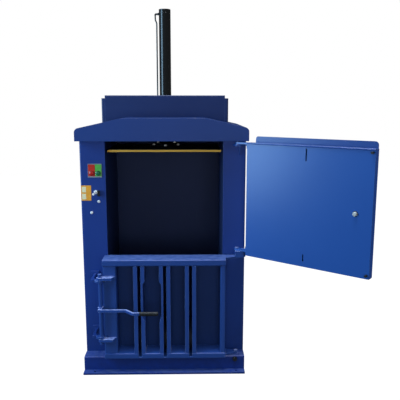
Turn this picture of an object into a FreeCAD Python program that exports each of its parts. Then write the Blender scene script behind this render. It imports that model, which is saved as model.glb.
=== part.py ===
"""Recycling baler: a front-loading press for packaging waste, parts listed at the foot.

Millimetres. Origin on the floor under the press cylinder, +X to the viewer's right,
+Y away from the feed side, +Z up. The feed door is drawn closed and then swung open.
"""
import math
import os

import FreeCAD
import Part

V = FreeCAD.Vector

# ---- Body -------------------------------------------------------------------------
APERTURE = 356.0         # half width of the chamber mouth
LEFT_COLUMN = 153.0      # width of the left column, which carries the controls
RIGHT_COLUMN = 137.0     # width of the right column, which carries the hinges
CHAMBER_DEEP = 530.0     # from the columns' front face to the chamber's back wall
PLINTH_TOP = 97.0
DECK_BOTTOM = 1494.0     # the deck closes the top of the columns
SHEET = 4.0              # casing sheet
WALL = 6.0               # chamber lining plate
BEND = 4.0               # inside radius of the heavy folds
LEFT = -APERTURE - LEFT_COLUMN
RIGHT = APERTURE + RIGHT_COLUMN
FRONT = -CHAMBER_DEEP / 2        # front face of both columns
CHAMBER_BACK = CHAMBER_DEEP / 2  # inner face of the chamber's back wall
REAR = CHAMBER_BACK + 65.0       # outermost face at the back
DECK_TOP = DECK_BOTTOM + WALL
BASE_TOP = 12.0          # base plate thickness
TOE_FRONT = FRONT - 132.0        # front edge of the base plate
TOE_REAR = REAR + 40.0   # its rear edge, clear of the back for the floor bolts
PLINTH_FRONT = FRONT - 86.0
STRAP_PITCH = 156.0      # strap channels lie at this pitch either side of the middle
STRAPS = (-STRAP_PITCH, 0.0, STRAP_PITCH)
STRAP_FLOOR = PLINTH_TOP + WALL  # bottom of a strap channel in the floor
STRAP_FLOOR_HALF = 19.0
FLOOR_TOP = STRAP_FLOOR + 27.0
BEAM_PITCH = 170.0       # floor beams, the first one 60 mm behind the front
BEAM_WIDE = 70.0
WINDOW_TOP = 520.0       # head of the strap windows in the back wall
WINDOW_HALF = 14.0
GUIDE_HALF = 40.0        # half width of the strap guides behind them
ANCHOR_X = RIGHT - 53.0  # floor bolts
ANCHOR_Y = (TOE_FRONT + 23.0, TOE_REAR - 20.0)
ANCHOR_R = 7.0

# ---- Cylinder and ram -------------------------------------------------------------
TUBE_R = 36.5
BORE_R = 31.5
ROD_R = 20.0
TUBE_LONG = 713.0
TUBE_TOP = DECK_TOP + TUBE_LONG
CAP_TOP = TUBE_TOP + 20.0
GLAND_HALF = 44.0
GLAND_BOTTOM = DECK_BOTTOM - 54.0
CROSS_DEPTH = 80.0       # half depth of the crosshead
CROSS_TOP = DECK_TOP + 80.0
SEAT_HALF = 110.0        # half width of the plate under the flange
SEAT_TOP = CROSS_TOP + 14.0
FLANGE_HALF = 70.0
FLANGE_TOP = SEAT_TOP + 15.0
FIT = 0.05               # radial running fit of a pin or rod
PISTON_FIT = 0.08
PISTON_TOP = TUBE_TOP - 13.0
PISTON_DEEP = 45.0
PLATEN_HALF = APERTURE - 13.0
PLATEN_DEPTH = CHAMBER_DEEP / 2 - 18.0
PLATEN_TOP = DECK_BOTTOM - 110.0
PLATEN_BOTTOM = PLATEN_TOP - 17.0
EDGE = 4.0               # painted strip along the platen's front
PORT_Z = TUBE_TOP - 7.0
PIPE_X = -TUBE_R - 13.5
PIPE_R = 4.5
PIPE_JOG = 9.0           # sideways step of the pipe below the port
ELBOW = 8.0              # half width of the elbow block at the port
VALVE_LEFT = -106.0
VALVE_TOP = FLANGE_TOP + 31.0

# ---- Hood and tower ---------------------------------------------------------------
HOOD_FRONT = FRONT - 57.0
HOOD_LEFT = LEFT - 16.0
HOOD_RIGHT = RIGHT + 12.0
HOOD_BOTTOM = DECK_BOTTOM - 56.0
HOOD_TOP = DECK_BOTTOM + 78.0
HOOD_FLAT = APERTURE - 107.0     # the roof runs level to here, then falls away
HOOD_FALL = 0.2237       # fall of the roof beyond, per millimetre
HOOD_BREAK = 250.0       # easy radius where it starts to fall
HOOD_CORNER = 25.0       # inside radius at both ends
HOOD_SHEET = 3.0
TOWER_HALF = APERTURE + 40.0
TOWER_PANEL = TOWER_HALF - 21.5  # half width of the front sheet
TOWER_FRONT = -CROSS_DEPTH - 8.0
LID_TOP = FLANGE_TOP + 67.0
TOWER_TOP = LID_TOP + 14.0
TOWER_PANEL_TOP = LID_TOP + 32.0
TOWER_SHEET = 3.0
CROSS_HALF = TOWER_HALF - 6.0
CABLE_X = 300.0          # mains inlet in the tower's rear cover
CABLE_Z = DECK_TOP + 50.0
CABLE_R = 6.0            # half width of the inlet
TANK = (240.0, 205.0, 125.0)     # oil tank, across, deep and high
TANK_LEFT = 110.0
MOTOR_R = 62.0
MOTOR_LONG = 200.0
MOTOR_LEFT = -330.0

# ---- Hinge axis shared by the feed door and the bale gate ----------------------------
HX = RIGHT - 52.0
HY = FRONT - 36.0
PIN_R = 9.0
SPACER = 17.0            # half width of the spacer under the gate

# ---- Bale gate ----------------------------------------------------------------------
GATE_LEFT = -APERTURE - 18.0
GATE_RIGHT = APERTURE + 14.0
GATE_BOTTOM = PLINTH_TOP + 3.0
GATE_TOP = 733.0
GATE_FRONT = FRONT - 125.0
GATE_BACK = FRONT - 3.0
GATE_SHEET = 4.0
TOP_RAIL = GATE_TOP - 39.0       # underside of the top rail
LOW_RAIL = GATE_BOTTOM + 36.0    # top of the bottom rail
POST_RIGHT = GATE_LEFT + 80.0
POST_FRONT = GATE_FRONT + 10.0
RIB_FRONT = GATE_FRONT + 2.0
RIB_WIDE = 24.0
SLOT_HALF = 10.0
SLOT_FOOT = GATE_BOTTOM + 13.0
BAR_LEFT = GATE_RIGHT - 32.0
BAR_FRONT = GATE_FRONT + 5.0

# ---- Gate lock ----------------------------------------------------------------------
SX = GATE_LEFT - 14.0
SY = GATE_FRONT - 10.0
SHAFT_R = 11.0
SHAFT_FIT = 0.08
LUG_Z = (233.0, 623.0)
LUG_HALF = 8.0
LUG_R = 20.0
CAM_THICK = 12.0
CAM_Z = ((LUG_Z[0] + LUG_HALF + 2, LUG_Z[0] + LUG_HALF + 2 + CAM_THICK),
         (LUG_Z[1] - LUG_HALF - 2 - CAM_THICK, LUG_Z[1] - LUG_HALF - 2))
CAM_NOSE = 34.0
LEVER_Z = 430.0
GRIP = (SX + 240.0, SX + 354.0)
GRIP_Y = SY - 80.0
GRIP_CORE = 6.0          # half width of the square bar inside the grip
NOTCH = (LEVER_Z - 76.0, LEVER_Z + 160.0)    # hand clearance beside the lock's grip
NOTCH_DEEP = 12.0

# ---- Feed door, drawn closed ---------------------------------------------------------
DOOR_OPEN = 141.4        # swing from closed to the pose of the photograph, degrees
DOOR_LEFT = -APERTURE - 40.0
DOOR_RIGHT = APERTURE + 10.0
DOOR_INNER = FRONT - 18.0
DOOR_OUTER = DOOR_INNER - 45.0
DOOR_BOTTOM = GATE_TOP + 19.0
DOOR_TOP = HOOD_BOTTOM - 6.0
DOOR_SHEET = 2.5
LIP_TOP = DOOR_TOP + 37.0
ARM_THICK = 10.0
ARM_HALF = 16.0
LOW_ARM = DOOR_BOTTOM + 20.0
SPINDLE_X = DOOR_LEFT + 91.0
SPINDLE_Z = (DOOR_BOTTOM + DOOR_TOP) / 2
SPINDLE_R = 8.0
LATCH_TURN = 72.0        # latch tongue: up when open, turned onto the keeper when shut
KEEPER_X = -APERTURE - 62.0
KEEPER_Z = SPINDLE_Z + 36.0
KEEPER_R = 5.0


# ---- Shape helpers --------------------------------------------------------------------
def box(x0, x1, y0, y1, z0, z1):
    """Block between two opposite corners."""
    return Part.makeBox(x1 - x0, y1 - y0, z1 - z0, V(x0, y0, z0))


def rod(radius, start, end):
    """Round bar between two points."""
    along = V(*end) - V(*start)
    return Part.makeCylinder(radius, along.Length, V(*start), along)


def ring(outer, inner, start, end):
    """Round bar with a bore."""
    return rod(outer, start, end).cut(rod(inner, start, end))


def placed(plane, u, v, level):
    """Point of a drawing plane, 'xy', 'xz' or 'yz', at a level on the third axis."""
    return {"xy": V(u, v, level), "xz": V(u, level, v), "yz": V(level, u, v)}[plane]


def face(corners, plane, level):
    """Flat face through (u, v, radius) corners, each rounded by its own radius."""
    spans = []
    for index, (u, v, radius) in enumerate(corners):
        here = V(u, v, 0)
        back = V(*corners[index - 1][:2], 0) - here
        ahead = V(*corners[(index + 1) % len(corners)][:2], 0) - here
        if radius <= 0:
            spans.append((here, None, here))
            continue
        back.normalize()
        ahead.normalize()
        half = back.getAngle(ahead) / 2
        reach = radius / math.tan(half)
        middle = back + ahead
        middle.normalize()
        crown = here + middle * (radius / math.sin(half) - radius)
        spans.append((here + back * reach, crown, here + ahead * reach))
    edges = []
    for index, (start, crown, end) in enumerate(spans):
        if crown:
            points = [placed(plane, p.x, p.y, level) for p in (start, crown, end)]
            edges.append(Part.Arc(*points).toShape())
        following = spans[(index + 1) % len(spans)][0]
        if (following - end).Length > 1e-6:
            points = [placed(plane, p.x, p.y, level) for p in (end, following)]
            edges.append(Part.makeLine(*points))
    return Part.Face(Part.Wire(edges))


def prism(corners, plane, start, end):
    """Outline of (u, v) or (u, v, radius) corners pushed from one level to another."""
    full = [tuple(c) + (0,) * (3 - len(c)) for c in corners]
    push = placed(plane, 0, 0, end) - placed(plane, 0, 0, start)
    return face(full, plane, start).extrude(push)


def folded(path, thickness, bends):
    """Corners of a bent sheet whose other face lies to the left of the path.

    bends gives the inside radius of every fold, or one radius for each inner point; 0 leaves
    the fold sharp, as in sheet that nobody sees."""
    if not isinstance(bends, (list, tuple)):
        bends = [bends] * (len(path) - 2)
    normals = []
    for (u0, v0), (u1, v1) in zip(path, path[1:]):
        length = math.hypot(u1 - u0, v1 - v0)
        normals.append(((v0 - v1) / length, (u1 - u0) / length))
    near = []
    far = []
    for index, (u, v) in enumerate(path):
        a = normals[max(index - 1, 0)]
        b = normals[min(index, len(normals) - 1)]
        scale = thickness / (1 + a[0] * b[0] + a[1] * b[1])
        inner = 0 < index < len(path) - 1
        radius = bends[index - 1] if inner else 0
        grown = radius + thickness if radius > 0 else 0
        left_turn = a[0] * b[1] - a[1] * b[0] > 0
        near.append((u, v, grown if left_turn else radius))
        far.append((u + (a[0] + b[0]) * scale, v + (a[1] + b[1]) * scale,
                    radius if left_turn else grown))
    return near + far[::-1]


def hexagon(across, centre, plane, start, end):
    """Hexagon prism, across the flats, pushed from one level to another."""
    reach = across / math.sqrt(3)
    angles = [math.radians(60 * k + 30) for k in range(6)]
    points = [(centre[0] + reach * math.cos(a), centre[1] + reach * math.sin(a))
              for a in angles]
    return prism(points, plane, start, end)


def joined(shapes):
    """All shapes fused into one, with the seams between flush faces removed."""
    whole = shapes[0]
    if len(shapes) > 1:
        whole = whole.multiFuse(shapes[1:])
    return whole.removeSplitter()


def route(points, radii):
    """Wire through 3-D points with a round bend at every inner one."""
    edges = []
    last = V(*points[0])
    for index in range(1, len(points) - 1):
        here = V(*points[index])
        back = V(*points[index - 1]) - here
        ahead = V(*points[index + 1]) - here
        back.normalize()
        ahead.normalize()
        half = back.getAngle(ahead) / 2
        reach = radii[index - 1] / math.tan(half)
        middle = back + ahead
        middle.normalize()
        crown = here + middle * (radii[index - 1] / math.sin(half) - radii[index - 1])
        start = here + back * reach
        edges.append(Part.makeLine(last, start))
        last = here + ahead * reach
        edges.append(Part.Arc(start, crown, last).toShape())
    edges.append(Part.makeLine(last, V(*points[-1])))
    return Part.Wire(edges)


def swept(radius, wire):
    """Round bar bent along a wire."""
    edge = wire.Edges[0]
    start = edge.valueAt(edge.FirstParameter)
    along = edge.tangentAt(edge.FirstParameter)
    profile = Part.Wire(Part.makeCircle(radius, start, along))
    return wire.makePipeShell([profile], True, False)


def swung(shape):
    """Part of the closed feed door, turned about the hinge axis to its open pose."""
    turned = shape.copy()
    turned.rotate(V(HX, HY, 0), V(0, 0, 1), DOOR_OPEN)
    return turned


# ---- Body ---------------------------------------------------------------------------
def base_plate():
    """Floor plate with a toe edge at front and back and four anchor holes."""
    plate = box(LEFT, RIGHT, TOE_FRONT, TOE_REAR, 0, BASE_TOP)
    for x in (-ANCHOR_X, ANCHOR_X):
        for y in ANCHOR_Y:
            plate = plate.cut(rod(ANCHOR_R, (x, y, -1), (x, y, BASE_TOP + 1)))
    return plate


def plinth_cover():
    """Folded front of the plinth, its top reaching back to the columns, ends closed."""
    path = [(FRONT, PLINTH_TOP), (PLINTH_FRONT, PLINTH_TOP), (PLINTH_FRONT, BASE_TOP)]
    sheet = prism(folded(path, SHEET, BEND), "yz", LEFT, RIGHT)
    outer = [(PLINTH_FRONT, BASE_TOP), (FRONT, BASE_TOP), (FRONT, PLINTH_TOP),
             (PLINTH_FRONT, PLINTH_TOP, BEND + SHEET)]
    ends = [prism(outer, "yz", LEFT, LEFT + SHEET), prism(outer, "yz", RIGHT - SHEET, RIGHT)]
    return joined([sheet] + ends)


def floor_beams():
    """Three channels across the chamber that carry the floor."""
    beams = []
    for step in range(3):
        y = FRONT + 60 + BEAM_PITCH * step
        path = [(y + BEAM_WIDE, BASE_TOP), (y + BEAM_WIDE, PLINTH_TOP), (y, PLINTH_TOP), (y, BASE_TOP)]
        beams.append(prism(folded(path, SHEET, 0), "yz", -APERTURE, APERTURE))
    return Part.makeCompound(beams)


def floor_plate():
    """Floor sheet with four folded pads, the strap channels lying between them."""
    fall = 7.0
    pads = []
    edges = [-APERTURE]
    for x in STRAPS:
        edges += [x - STRAP_FLOOR_HALF, x + STRAP_FLOOR_HALF]
    edges.append(APERTURE)
    for left, right in zip(edges[::2], edges[1::2]):
        lean_left = fall if left > -APERTURE else 0
        lean_right = fall if right < APERTURE else 0
        path = [(right, STRAP_FLOOR), (right - lean_right, FLOOR_TOP),
                (left + lean_left, FLOOR_TOP), (left, STRAP_FLOOR)]
        pads.append(prism(folded(path, WALL, 0), "xz", FRONT, CHAMBER_BACK))
    sheet = box(-APERTURE, APERTURE, FRONT, CHAMBER_BACK, PLINTH_TOP, STRAP_FLOOR)
    return Part.makeCompound([sheet] + [pad.cut(sheet) for pad in pads])


def column(outer, inner):
    """Casing of one column: folded front, outer side and rear, open to the chamber."""
    path = [(inner, REAR), (outer, REAR), (outer, FRONT), (inner, FRONT)]
    if outer > inner:
        path = path[::-1]
    return prism(folded(path, SHEET, BEND), "xy", BASE_TOP, DECK_BOTTOM)


def chamber_wall(inner, outward):
    """Lining plate that closes a column towards the chamber."""
    sides = sorted((inner, inner + outward * WALL))
    return box(sides[0], sides[1], FRONT + SHEET, REAR - SHEET, BASE_TOP, DECK_BOTTOM)


def chamber_back():
    """Back wall welded from plates that leave a window above every strap channel."""
    back = CHAMBER_BACK + WALL
    plates = [box(-APERTURE, APERTURE, CHAMBER_BACK, back, BASE_TOP, STRAP_FLOOR),
              box(-APERTURE, APERTURE, CHAMBER_BACK, back, WINDOW_TOP, DECK_BOTTOM)]
    edges = [-APERTURE]
    for x in STRAPS:
        edges += [x - WINDOW_HALF, x + WINDOW_HALF]
    edges.append(APERTURE)
    for left, right in zip(edges[::2], edges[1::2]):
        plates.append(box(left, right, CHAMBER_BACK, back, STRAP_FLOOR, WINDOW_TOP))
    return Part.makeCompound(plates)


def rear_frame():
    """Flat bars welded into strap guides behind the windows, with a beam at foot and head."""
    back = CHAMBER_BACK + WALL
    low = PLINTH_TOP
    high = DECK_BOTTOM - 110
    bars = [box(-APERTURE, APERTURE, REAR - SHEET, REAR, BASE_TOP, low),
            box(-APERTURE, APERTURE, back, REAR - SHEET, low - SHEET, low),
            box(-APERTURE, APERTURE, REAR - SHEET, REAR, high, DECK_BOTTOM),
            box(-APERTURE, APERTURE, back, REAR - SHEET, high, high + SHEET)]
    for x in STRAPS:
        bars.append(box(x - GUIDE_HALF, x + GUIDE_HALF, REAR - SHEET, REAR, low, high))
        for side in (-1, 1):
            edge = sorted((x + side * GUIDE_HALF, x + side * (GUIDE_HALF - SHEET)))
            bars.append(box(edge[0], edge[1], back, REAR - SHEET, low, high))
    return Part.makeCompound(bars)


def lintel():
    """Angle across the head of the chamber mouth."""
    path = [(FRONT + 60, HOOD_BOTTOM), (FRONT, HOOD_BOTTOM), (FRONT, DECK_BOTTOM)]
    return prism(folded(path[::-1], WALL, BEND), "yz", -APERTURE, APERTURE)


def deck():
    """Plate over both columns and the chamber, open round the cylinder's gland block."""
    plate = box(LEFT, RIGHT, FRONT, REAR, DECK_BOTTOM, DECK_TOP)
    hole = GLAND_HALF + 1
    return plate.cut(box(-hole, hole, -hole, hole, DECK_BOTTOM - 1, DECK_TOP + 1))


# ---- Hood and tower -------------------------------------------------------------------
def hood_end(x):
    """Height of the sloping roof line over one end of the hood."""
    return HOOD_TOP - HOOD_FALL * (abs(x) - HOOD_FLAT)


def hood():
    """Fascia with an easy-bent roof, end cheeks and a return along its foot."""
    path = [(HOOD_RIGHT, HOOD_BOTTOM), (HOOD_RIGHT, hood_end(HOOD_RIGHT)), (HOOD_FLAT, HOOD_TOP),
            (-HOOD_FLAT, HOOD_TOP), (HOOD_LEFT, hood_end(HOOD_LEFT)), (HOOD_LEFT, HOOD_BOTTOM)]
    bends = [HOOD_CORNER, HOOD_BREAK, HOOD_BREAK, HOOD_CORNER]
    skin = folded(path, HOOD_SHEET, bends)
    roof = prism(skin, "xz", HOOD_FRONT, REAR)
    fascia = prism(skin[:len(path)], "xz", HOOD_FRONT, HOOD_FRONT + HOOD_SHEET)
    roof = roof.common(box(HOOD_LEFT - 1, HOOD_RIGHT + 1, HOOD_FRONT + HOOD_SHEET, REAR,
                           HOOD_BOTTOM - 1, HOOD_TOP + 1))
    foot = HOOD_BOTTOM + HOOD_SHEET
    returns = [box(HOOD_LEFT, HOOD_RIGHT, HOOD_FRONT + HOOD_SHEET, FRONT, HOOD_BOTTOM, foot),
               box(HOOD_LEFT, LEFT, FRONT, REAR, HOOD_BOTTOM, foot),
               box(RIGHT, HOOD_RIGHT, FRONT, REAR, HOOD_BOTTOM, foot)]
    whole = joined([roof, fascia] + returns)
    well = box(-TOWER_HALF, TOWER_HALF, TOWER_FRONT, REAR + 1, DECK_TOP, HOOD_TOP + 1)
    return whole.cut(well)


def tower_side(side):
    """Side post: outer sheet with a round-shouldered front flange and a rear return."""
    shoulder = 9.0
    outer = side * TOWER_HALF
    path = [(side * TOWER_PANEL, TOWER_FRONT), (outer, TOWER_FRONT), (outer, REAR),
            (outer - side * 40, REAR)]
    if side < 0:
        path = path[::-1]
    bends = [shoulder - TOWER_SHEET, BEND]
    if side < 0:
        bends = bends[::-1]
    return prism(folded(path, TOWER_SHEET, bends), "xy", DECK_TOP, TOWER_TOP)


def tower_front():
    """Front sheet between the posts, its top edge folded back above the lid."""
    path = [(TOWER_FRONT + 26, TOWER_PANEL_TOP), (TOWER_FRONT, TOWER_PANEL_TOP),
            (TOWER_FRONT, DECK_TOP)]
    return prism(folded(path, TOWER_SHEET, 3.0), "yz", -TOWER_PANEL, TOWER_PANEL)


def tower_rear():
    """Rear cover with two banks of cooling slots and the hole of the cable gland."""
    edge = TOWER_HALF - 40
    cover = box(-edge, edge, REAR - TOWER_SHEET, REAR, DECK_TOP, TOWER_TOP)
    for x in (-190.0, 110.0):
        for step in range(6):
            z = DECK_TOP + 60 + 16 * step
            cover = cover.cut(box(x, x + 80, REAR - TOWER_SHEET - 1, REAR + 1, z, z + 6))
    return cover.cut(hexagon(2 * CABLE_R, (CABLE_X, CABLE_Z), "xz", REAR - 9, REAR + 1))


def tower_lid():
    """Lid just below the top of the posts, clipped at its corners to sit inside their folds."""
    inside = TOWER_HALF - TOWER_SHEET
    front = TOWER_FRONT + TOWER_SHEET
    rear = REAR - TOWER_SHEET
    clip = 7.0
    lid = prism([(-inside + clip, front), (inside - clip, front), (inside, front + clip),
                 (inside, rear - clip), (inside - clip, rear), (clip - inside, rear),
                 (-inside, rear - clip), (-inside, front + clip)],
                "xy", LID_TOP - TOWER_SHEET, LID_TOP)
    hole = rod(TUBE_R + 2, (0, 0, LID_TOP - 9), (0, 0, LID_TOP + 1))
    half = PIPE_R + 3
    notch = box(PIPE_X - half, PIPE_X + half, -half, half, LID_TOP - 9, LID_TOP + 1)
    return lid.cut(hole).cut(notch)


# ---- Press cylinder ---------------------------------------------------------------------
def crosshead():
    """Two channels across the chamber with bridging plates that seat the cylinder."""
    beams = []
    for side in (-1, 1):
        path = [(side * 40, DECK_TOP), (side * CROSS_DEPTH, DECK_TOP),
                (side * CROSS_DEPTH, CROSS_TOP), (side * 40, CROSS_TOP)]
        if side < 0:
            path = path[::-1]
        beams.append(prism(folded(path, 8.0, 0), "yz", -CROSS_HALF, CROSS_HALF))
    seat = box(-SEAT_HALF, SEAT_HALF, -CROSS_DEPTH, CROSS_DEPTH, CROSS_TOP, SEAT_TOP)
    hole = TUBE_R + 1
    seat = seat.cut(box(-hole, hole, -hole, hole, CROSS_TOP - 1, SEAT_TOP + 1))
    return joined(beams + [seat])


def cylinder_tube():
    """Honed tube, open at both ends."""
    return ring(TUBE_R, BORE_R, (0, 0, DECK_TOP), (0, 0, TUBE_TOP))


def cylinder_cap():
    """Welded end cap."""
    return rod(TUBE_R, (0, 0, TUBE_TOP), (0, 0, CAP_TOP))


def cylinder_gland():
    """Square gland block that guides the rod below the deck."""
    block = box(-GLAND_HALF, GLAND_HALF, -GLAND_HALF, GLAND_HALF, GLAND_BOTTOM, DECK_TOP)
    return block.cut(rod(ROD_R + FIT, (0, 0, GLAND_BOTTOM - 1), (0, 0, DECK_TOP + 1)))


def cylinder_flange():
    """Square mounting flange round the tube."""
    plate = box(-FLANGE_HALF, FLANGE_HALF, -FLANGE_HALF, FLANGE_HALF, SEAT_TOP, FLANGE_TOP)
    return plate.cut(rod(TUBE_R, (0, 0, SEAT_TOP - 1), (0, 0, FLANGE_TOP + 1)))


def flange_bolts():
    """Four hexagon heads on the cylinder flange."""
    bolts = []
    offset = FLANGE_HALF - 18
    for x in (-offset, offset):
        for y in (-offset, offset):
            bolts.append(hexagon(24, (x, y), "xy", FLANGE_TOP, FLANGE_TOP + 12))
    return Part.makeCompound(bolts)


def pipe():
    """Rigid pressure pipe from the valve block up to the port at the cylinder's head."""
    x = PIPE_X - PIPE_JOG
    points = [(PIPE_X, 0, VALVE_TOP), (PIPE_X, 0, PORT_Z - 56), (x, 0, PORT_Z - 34),
              (x, 0, PORT_Z - ELBOW)]
    return swept(PIPE_R, route(points, [30, 30]))


def pipe_fitting():
    """Elbow block that takes the pipe into the tube's port."""
    x = PIPE_X - PIPE_JOG
    block = box(x - ELBOW, -TUBE_R + 2, -ELBOW, ELBOW, PORT_Z - ELBOW, PORT_Z + ELBOW)
    return block.cut(rod(TUBE_R, (0, 0, PORT_Z - 20), (0, 0, CAP_TOP)))


def valve_block():
    """Valve block on the crosshead seat, reaching over the flange to the pipe."""
    block = box(VALVE_LEFT, -FLANGE_HALF - 2, -30, 30, SEAT_TOP, SEAT_TOP + 30)
    head = box(VALVE_LEFT, PIPE_X + 2 * PIPE_R, -14, 14, FLANGE_TOP + 3, VALVE_TOP)
    return joined([block, head])


def oil_tank():
    """Welded tank with a filler cap."""
    wide, deep, high = TANK
    y = CROSS_DEPTH + 15
    top = DECK_TOP + high
    tank = box(TANK_LEFT, TANK_LEFT + wide, y, y + deep, DECK_TOP, top)
    neck = hexagon(36, (TANK_LEFT + 40, y + 45), "xy", top, top + 20)
    return joined([tank, neck])


def motor():
    """Electric motor with its pump, lying beside the tank on a foot."""
    y = CROSS_DEPTH + MOTOR_R + 58
    z = DECK_TOP + MOTOR_R + 18
    end = MOTOR_LEFT + MOTOR_LONG
    body = rod(MOTOR_R, (MOTOR_LEFT, y, z), (end, y, z))
    pump = box(end, end + 60, y - 40, y + 40, z - 40, z + 40)
    foot = box(MOTOR_LEFT + 30, end - 30, y - 45, y + 45, DECK_TOP, z - 40)
    return joined([body, pump, foot])


def cable_gland():
    """Inlet gland for the mains cable, a bored nut clamped on both faces of the rear cover."""
    inner = REAR - TOWER_SHEET
    nuts = [hexagon(24, (CABLE_X, CABLE_Z), "xz", REAR, REAR + 5),
            hexagon(24, (CABLE_X, CABLE_Z), "xz", inner - 5, inner)]
    bore = hexagon(2 * CABLE_R, (CABLE_X, CABLE_Z), "xz", inner - 6, REAR + 6)
    return Part.makeCompound([nut.cut(bore) for nut in nuts])


# ---- Hinges, keepers and small fittings on the body -----------------------------------------
PLAY = 0.8               # running gap between hinge leaves
BLOCK_TOP = LOW_ARM - PLAY
BLOCK_BOTTOM = GATE_TOP + PLAY


def upper_bracket():
    """Plate under the door's upper arm, with a slanted gusset down the column."""
    top = DOOR_TOP - ARM_THICK - PLAY
    plate = prism([(HX - 26, FRONT), (RIGHT, FRONT), (RIGHT, HY, 14), (HX + 16, HY - 22, 14),
                   (HX - 16, HY - 22, 14)], "xy", top - 12, top)
    gusset = prism([(FRONT, top - 12), (HY - 12, top - 12), (HY - 12, top - 20), (FRONT, top - 70)],
                   "yz", HX + 8, HX + 16)
    return joined([plate, gusset]).cut(rod(PIN_R, (HX, HY, top - 13), (HX, HY, top + 1)))


def middle_bracket():
    """Block between gate and door that carries a pin of each."""
    outline = [(HX - 12, FRONT - 75), (RIGHT - 15, FRONT - 75), (RIGHT, FRONT - 60), (RIGHT, FRONT),
               (HX - 12, FRONT)]
    block = prism(outline, "xy", BLOCK_BOTTOM, BLOCK_TOP)
    return block.cut(rod(PIN_R, (HX, HY, BLOCK_BOTTOM - 1), (HX, HY, BLOCK_TOP + 1)))


def pin(low, high, head_at=None):
    """Hinge pin with a hexagon head above the level head_at."""
    body = rod(PIN_R, (HX, HY, low), (HX, HY, high))
    if head_at:
        body = joined([body, hexagon(24, (HX, HY), "xy", head_at, head_at + 5)])
    return body


def hinge_pins():
    """Pins of door and gate, the gate's weight on a square spacer over the plinth."""
    plate = DOOR_TOP - ARM_THICK - PLAY - 12
    upper = pin(plate, DOOR_TOP + 0.5, DOOR_TOP + 0.5)
    middle = pin(GATE_TOP - 10, LOW_ARM + ARM_THICK + 0.5, LOW_ARM + ARM_THICK + 0.5)
    lower = pin(PLINTH_TOP - SHEET, GATE_BOTTOM + 10.5, GATE_BOTTOM + 10.5)
    spacer = box(HX - SPACER, HX + SPACER, HY - SPACER, HY + SPACER, PLINTH_TOP, GATE_BOTTOM - 0.2)
    return upper, middle, joined([lower, spacer])


def lock_bolt():
    """Hexagon bolt in the plinth's front below the gate hinge."""
    return hexagon(26, (HX - 8, PLINTH_TOP - 19), "xz", PLINTH_FRONT - 14, PLINTH_FRONT)


def plinth_with_hole():
    """Plinth cover drilled for the gate's lower pin."""
    return plinth_cover().cut(rod(PIN_R, (HX, HY, PLINTH_TOP - SHEET - 1), (HX, HY, PLINTH_TOP + 1)))


KEEPER_GAP = 1.0         # side clearance between a cam's nose and its keeper


def gate_keeper(level):
    """Hook on the left column that stands beside a cam's nose."""
    low, high = level
    lip = SX - CAM_NOSE - KEEPER_GAP
    tip = SY + 8
    outline = [(lip - 22, FRONT), (lip - 22, tip, 8), (lip, tip, 3), (lip, tip + 28, 3),
               (lip - 8, tip + 40, 3), (lip - 8, FRONT)]
    hook = prism(outline, "xy", low - 1, high + 1)
    foot = box(lip - 40, lip + 10, FRONT - 8, FRONT, low - 18, high + 18)
    return joined([hook, foot])


def latch_keeper():
    """Headed pin on the left column that the door's latch tongue straddles."""
    shank = rod(KEEPER_R, (KEEPER_X, FRONT, KEEPER_Z), (KEEPER_X, FRONT - 81, KEEPER_Z))
    head = hexagon(13, (KEEPER_X, KEEPER_Z), "xz", FRONT - 90, FRONT - 81)
    collar = hexagon(22, (KEEPER_X, KEEPER_Z), "xz", FRONT - 8, FRONT)
    return joined([shank, head, collar])


def catch_block():
    """Black block beside the keeper, the door's edge stop and switch housing."""
    return box(LEFT + 103, LEFT + 116.5, FRONT - 16, FRONT, KEEPER_Z - 24, KEEPER_Z + 10)


# ---- Controls on the left column ---------------------------------------------------------
PANEL = 2.5
BUTTON_R = 13.0
BUTTON_Z = 1243.0
RED_X = LEFT + 72.0
GREEN_X = RED_X + 37.5
TRAVEL = 4.0
STEM_HALF = 7.0          # half width of the square plunger
STEM_IN = 16.0           # the plunger's reach behind the column's face


def cutout(x):
    """Square opening behind a push button's collar, through plates, column and switch block."""
    half = STEM_HALF + 0.5
    return box(x - half, x + half, FRONT - PANEL - 2, FRONT + STEM_IN + TRAVEL + 1,
               BUTTON_Z - half, BUTTON_Z + half)


def legend(x0, x1):
    """Bare coloured plate behind one push button."""
    plate = box(x0, x1, FRONT - PANEL - 1, FRONT - PANEL, BUTTON_Z - 19, BUTTON_Z + 53)
    return plate.cut(cutout(RED_X)).cut(cutout(GREEN_X))


def backing():
    """Grey strip behind both legend plates."""
    strip = box(RED_X - 25, GREEN_X + 22.5, FRONT - PANEL, FRONT, BUTTON_Z - 26, BUTTON_Z + 57)
    return strip.cut(cutout(RED_X)).cut(cutout(GREEN_X))


def collar(x):
    """Chromed square bezel with a round well for the push button."""
    face_y = FRONT - PANEL - 1
    half = BUTTON_R + 3.5
    bezel = box(x - half, x + half, face_y - 5, face_y, BUTTON_Z - half, BUTTON_Z + half)
    return bezel.cut(rod(BUTTON_R + 0.1, (x, face_y - 6, BUTTON_Z), (x, face_y + 1, BUTTON_Z)))


def button(x):
    """Push button with its square plunger through the column."""
    back = FRONT - PANEL - 1 - TRAVEL - 0.4
    head = rod(BUTTON_R, (x, back - 4.6, BUTTON_Z), (x, back, BUTTON_Z))
    plunger = box(x - STEM_HALF, x + STEM_HALF, back, FRONT + STEM_IN,
                  BUTTON_Z - STEM_HALF, BUTTON_Z + STEM_HALF)
    return joined([head, plunger])


def contact_block(x):
    """Switch block behind the column face, held by its own collar."""
    block = box(x - 16, x + 16, FRONT + SHEET, FRONT + SHEET + 46, BUTTON_Z - 20, BUTTON_Z + 20)
    return block.cut(cutout(x))


def amber_plate():
    """Bare amber plate."""
    return box(LEFT + 3, LEFT + 63, FRONT - 1, FRONT, KEEPER_Z - 53, KEEPER_Z + 40)


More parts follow.
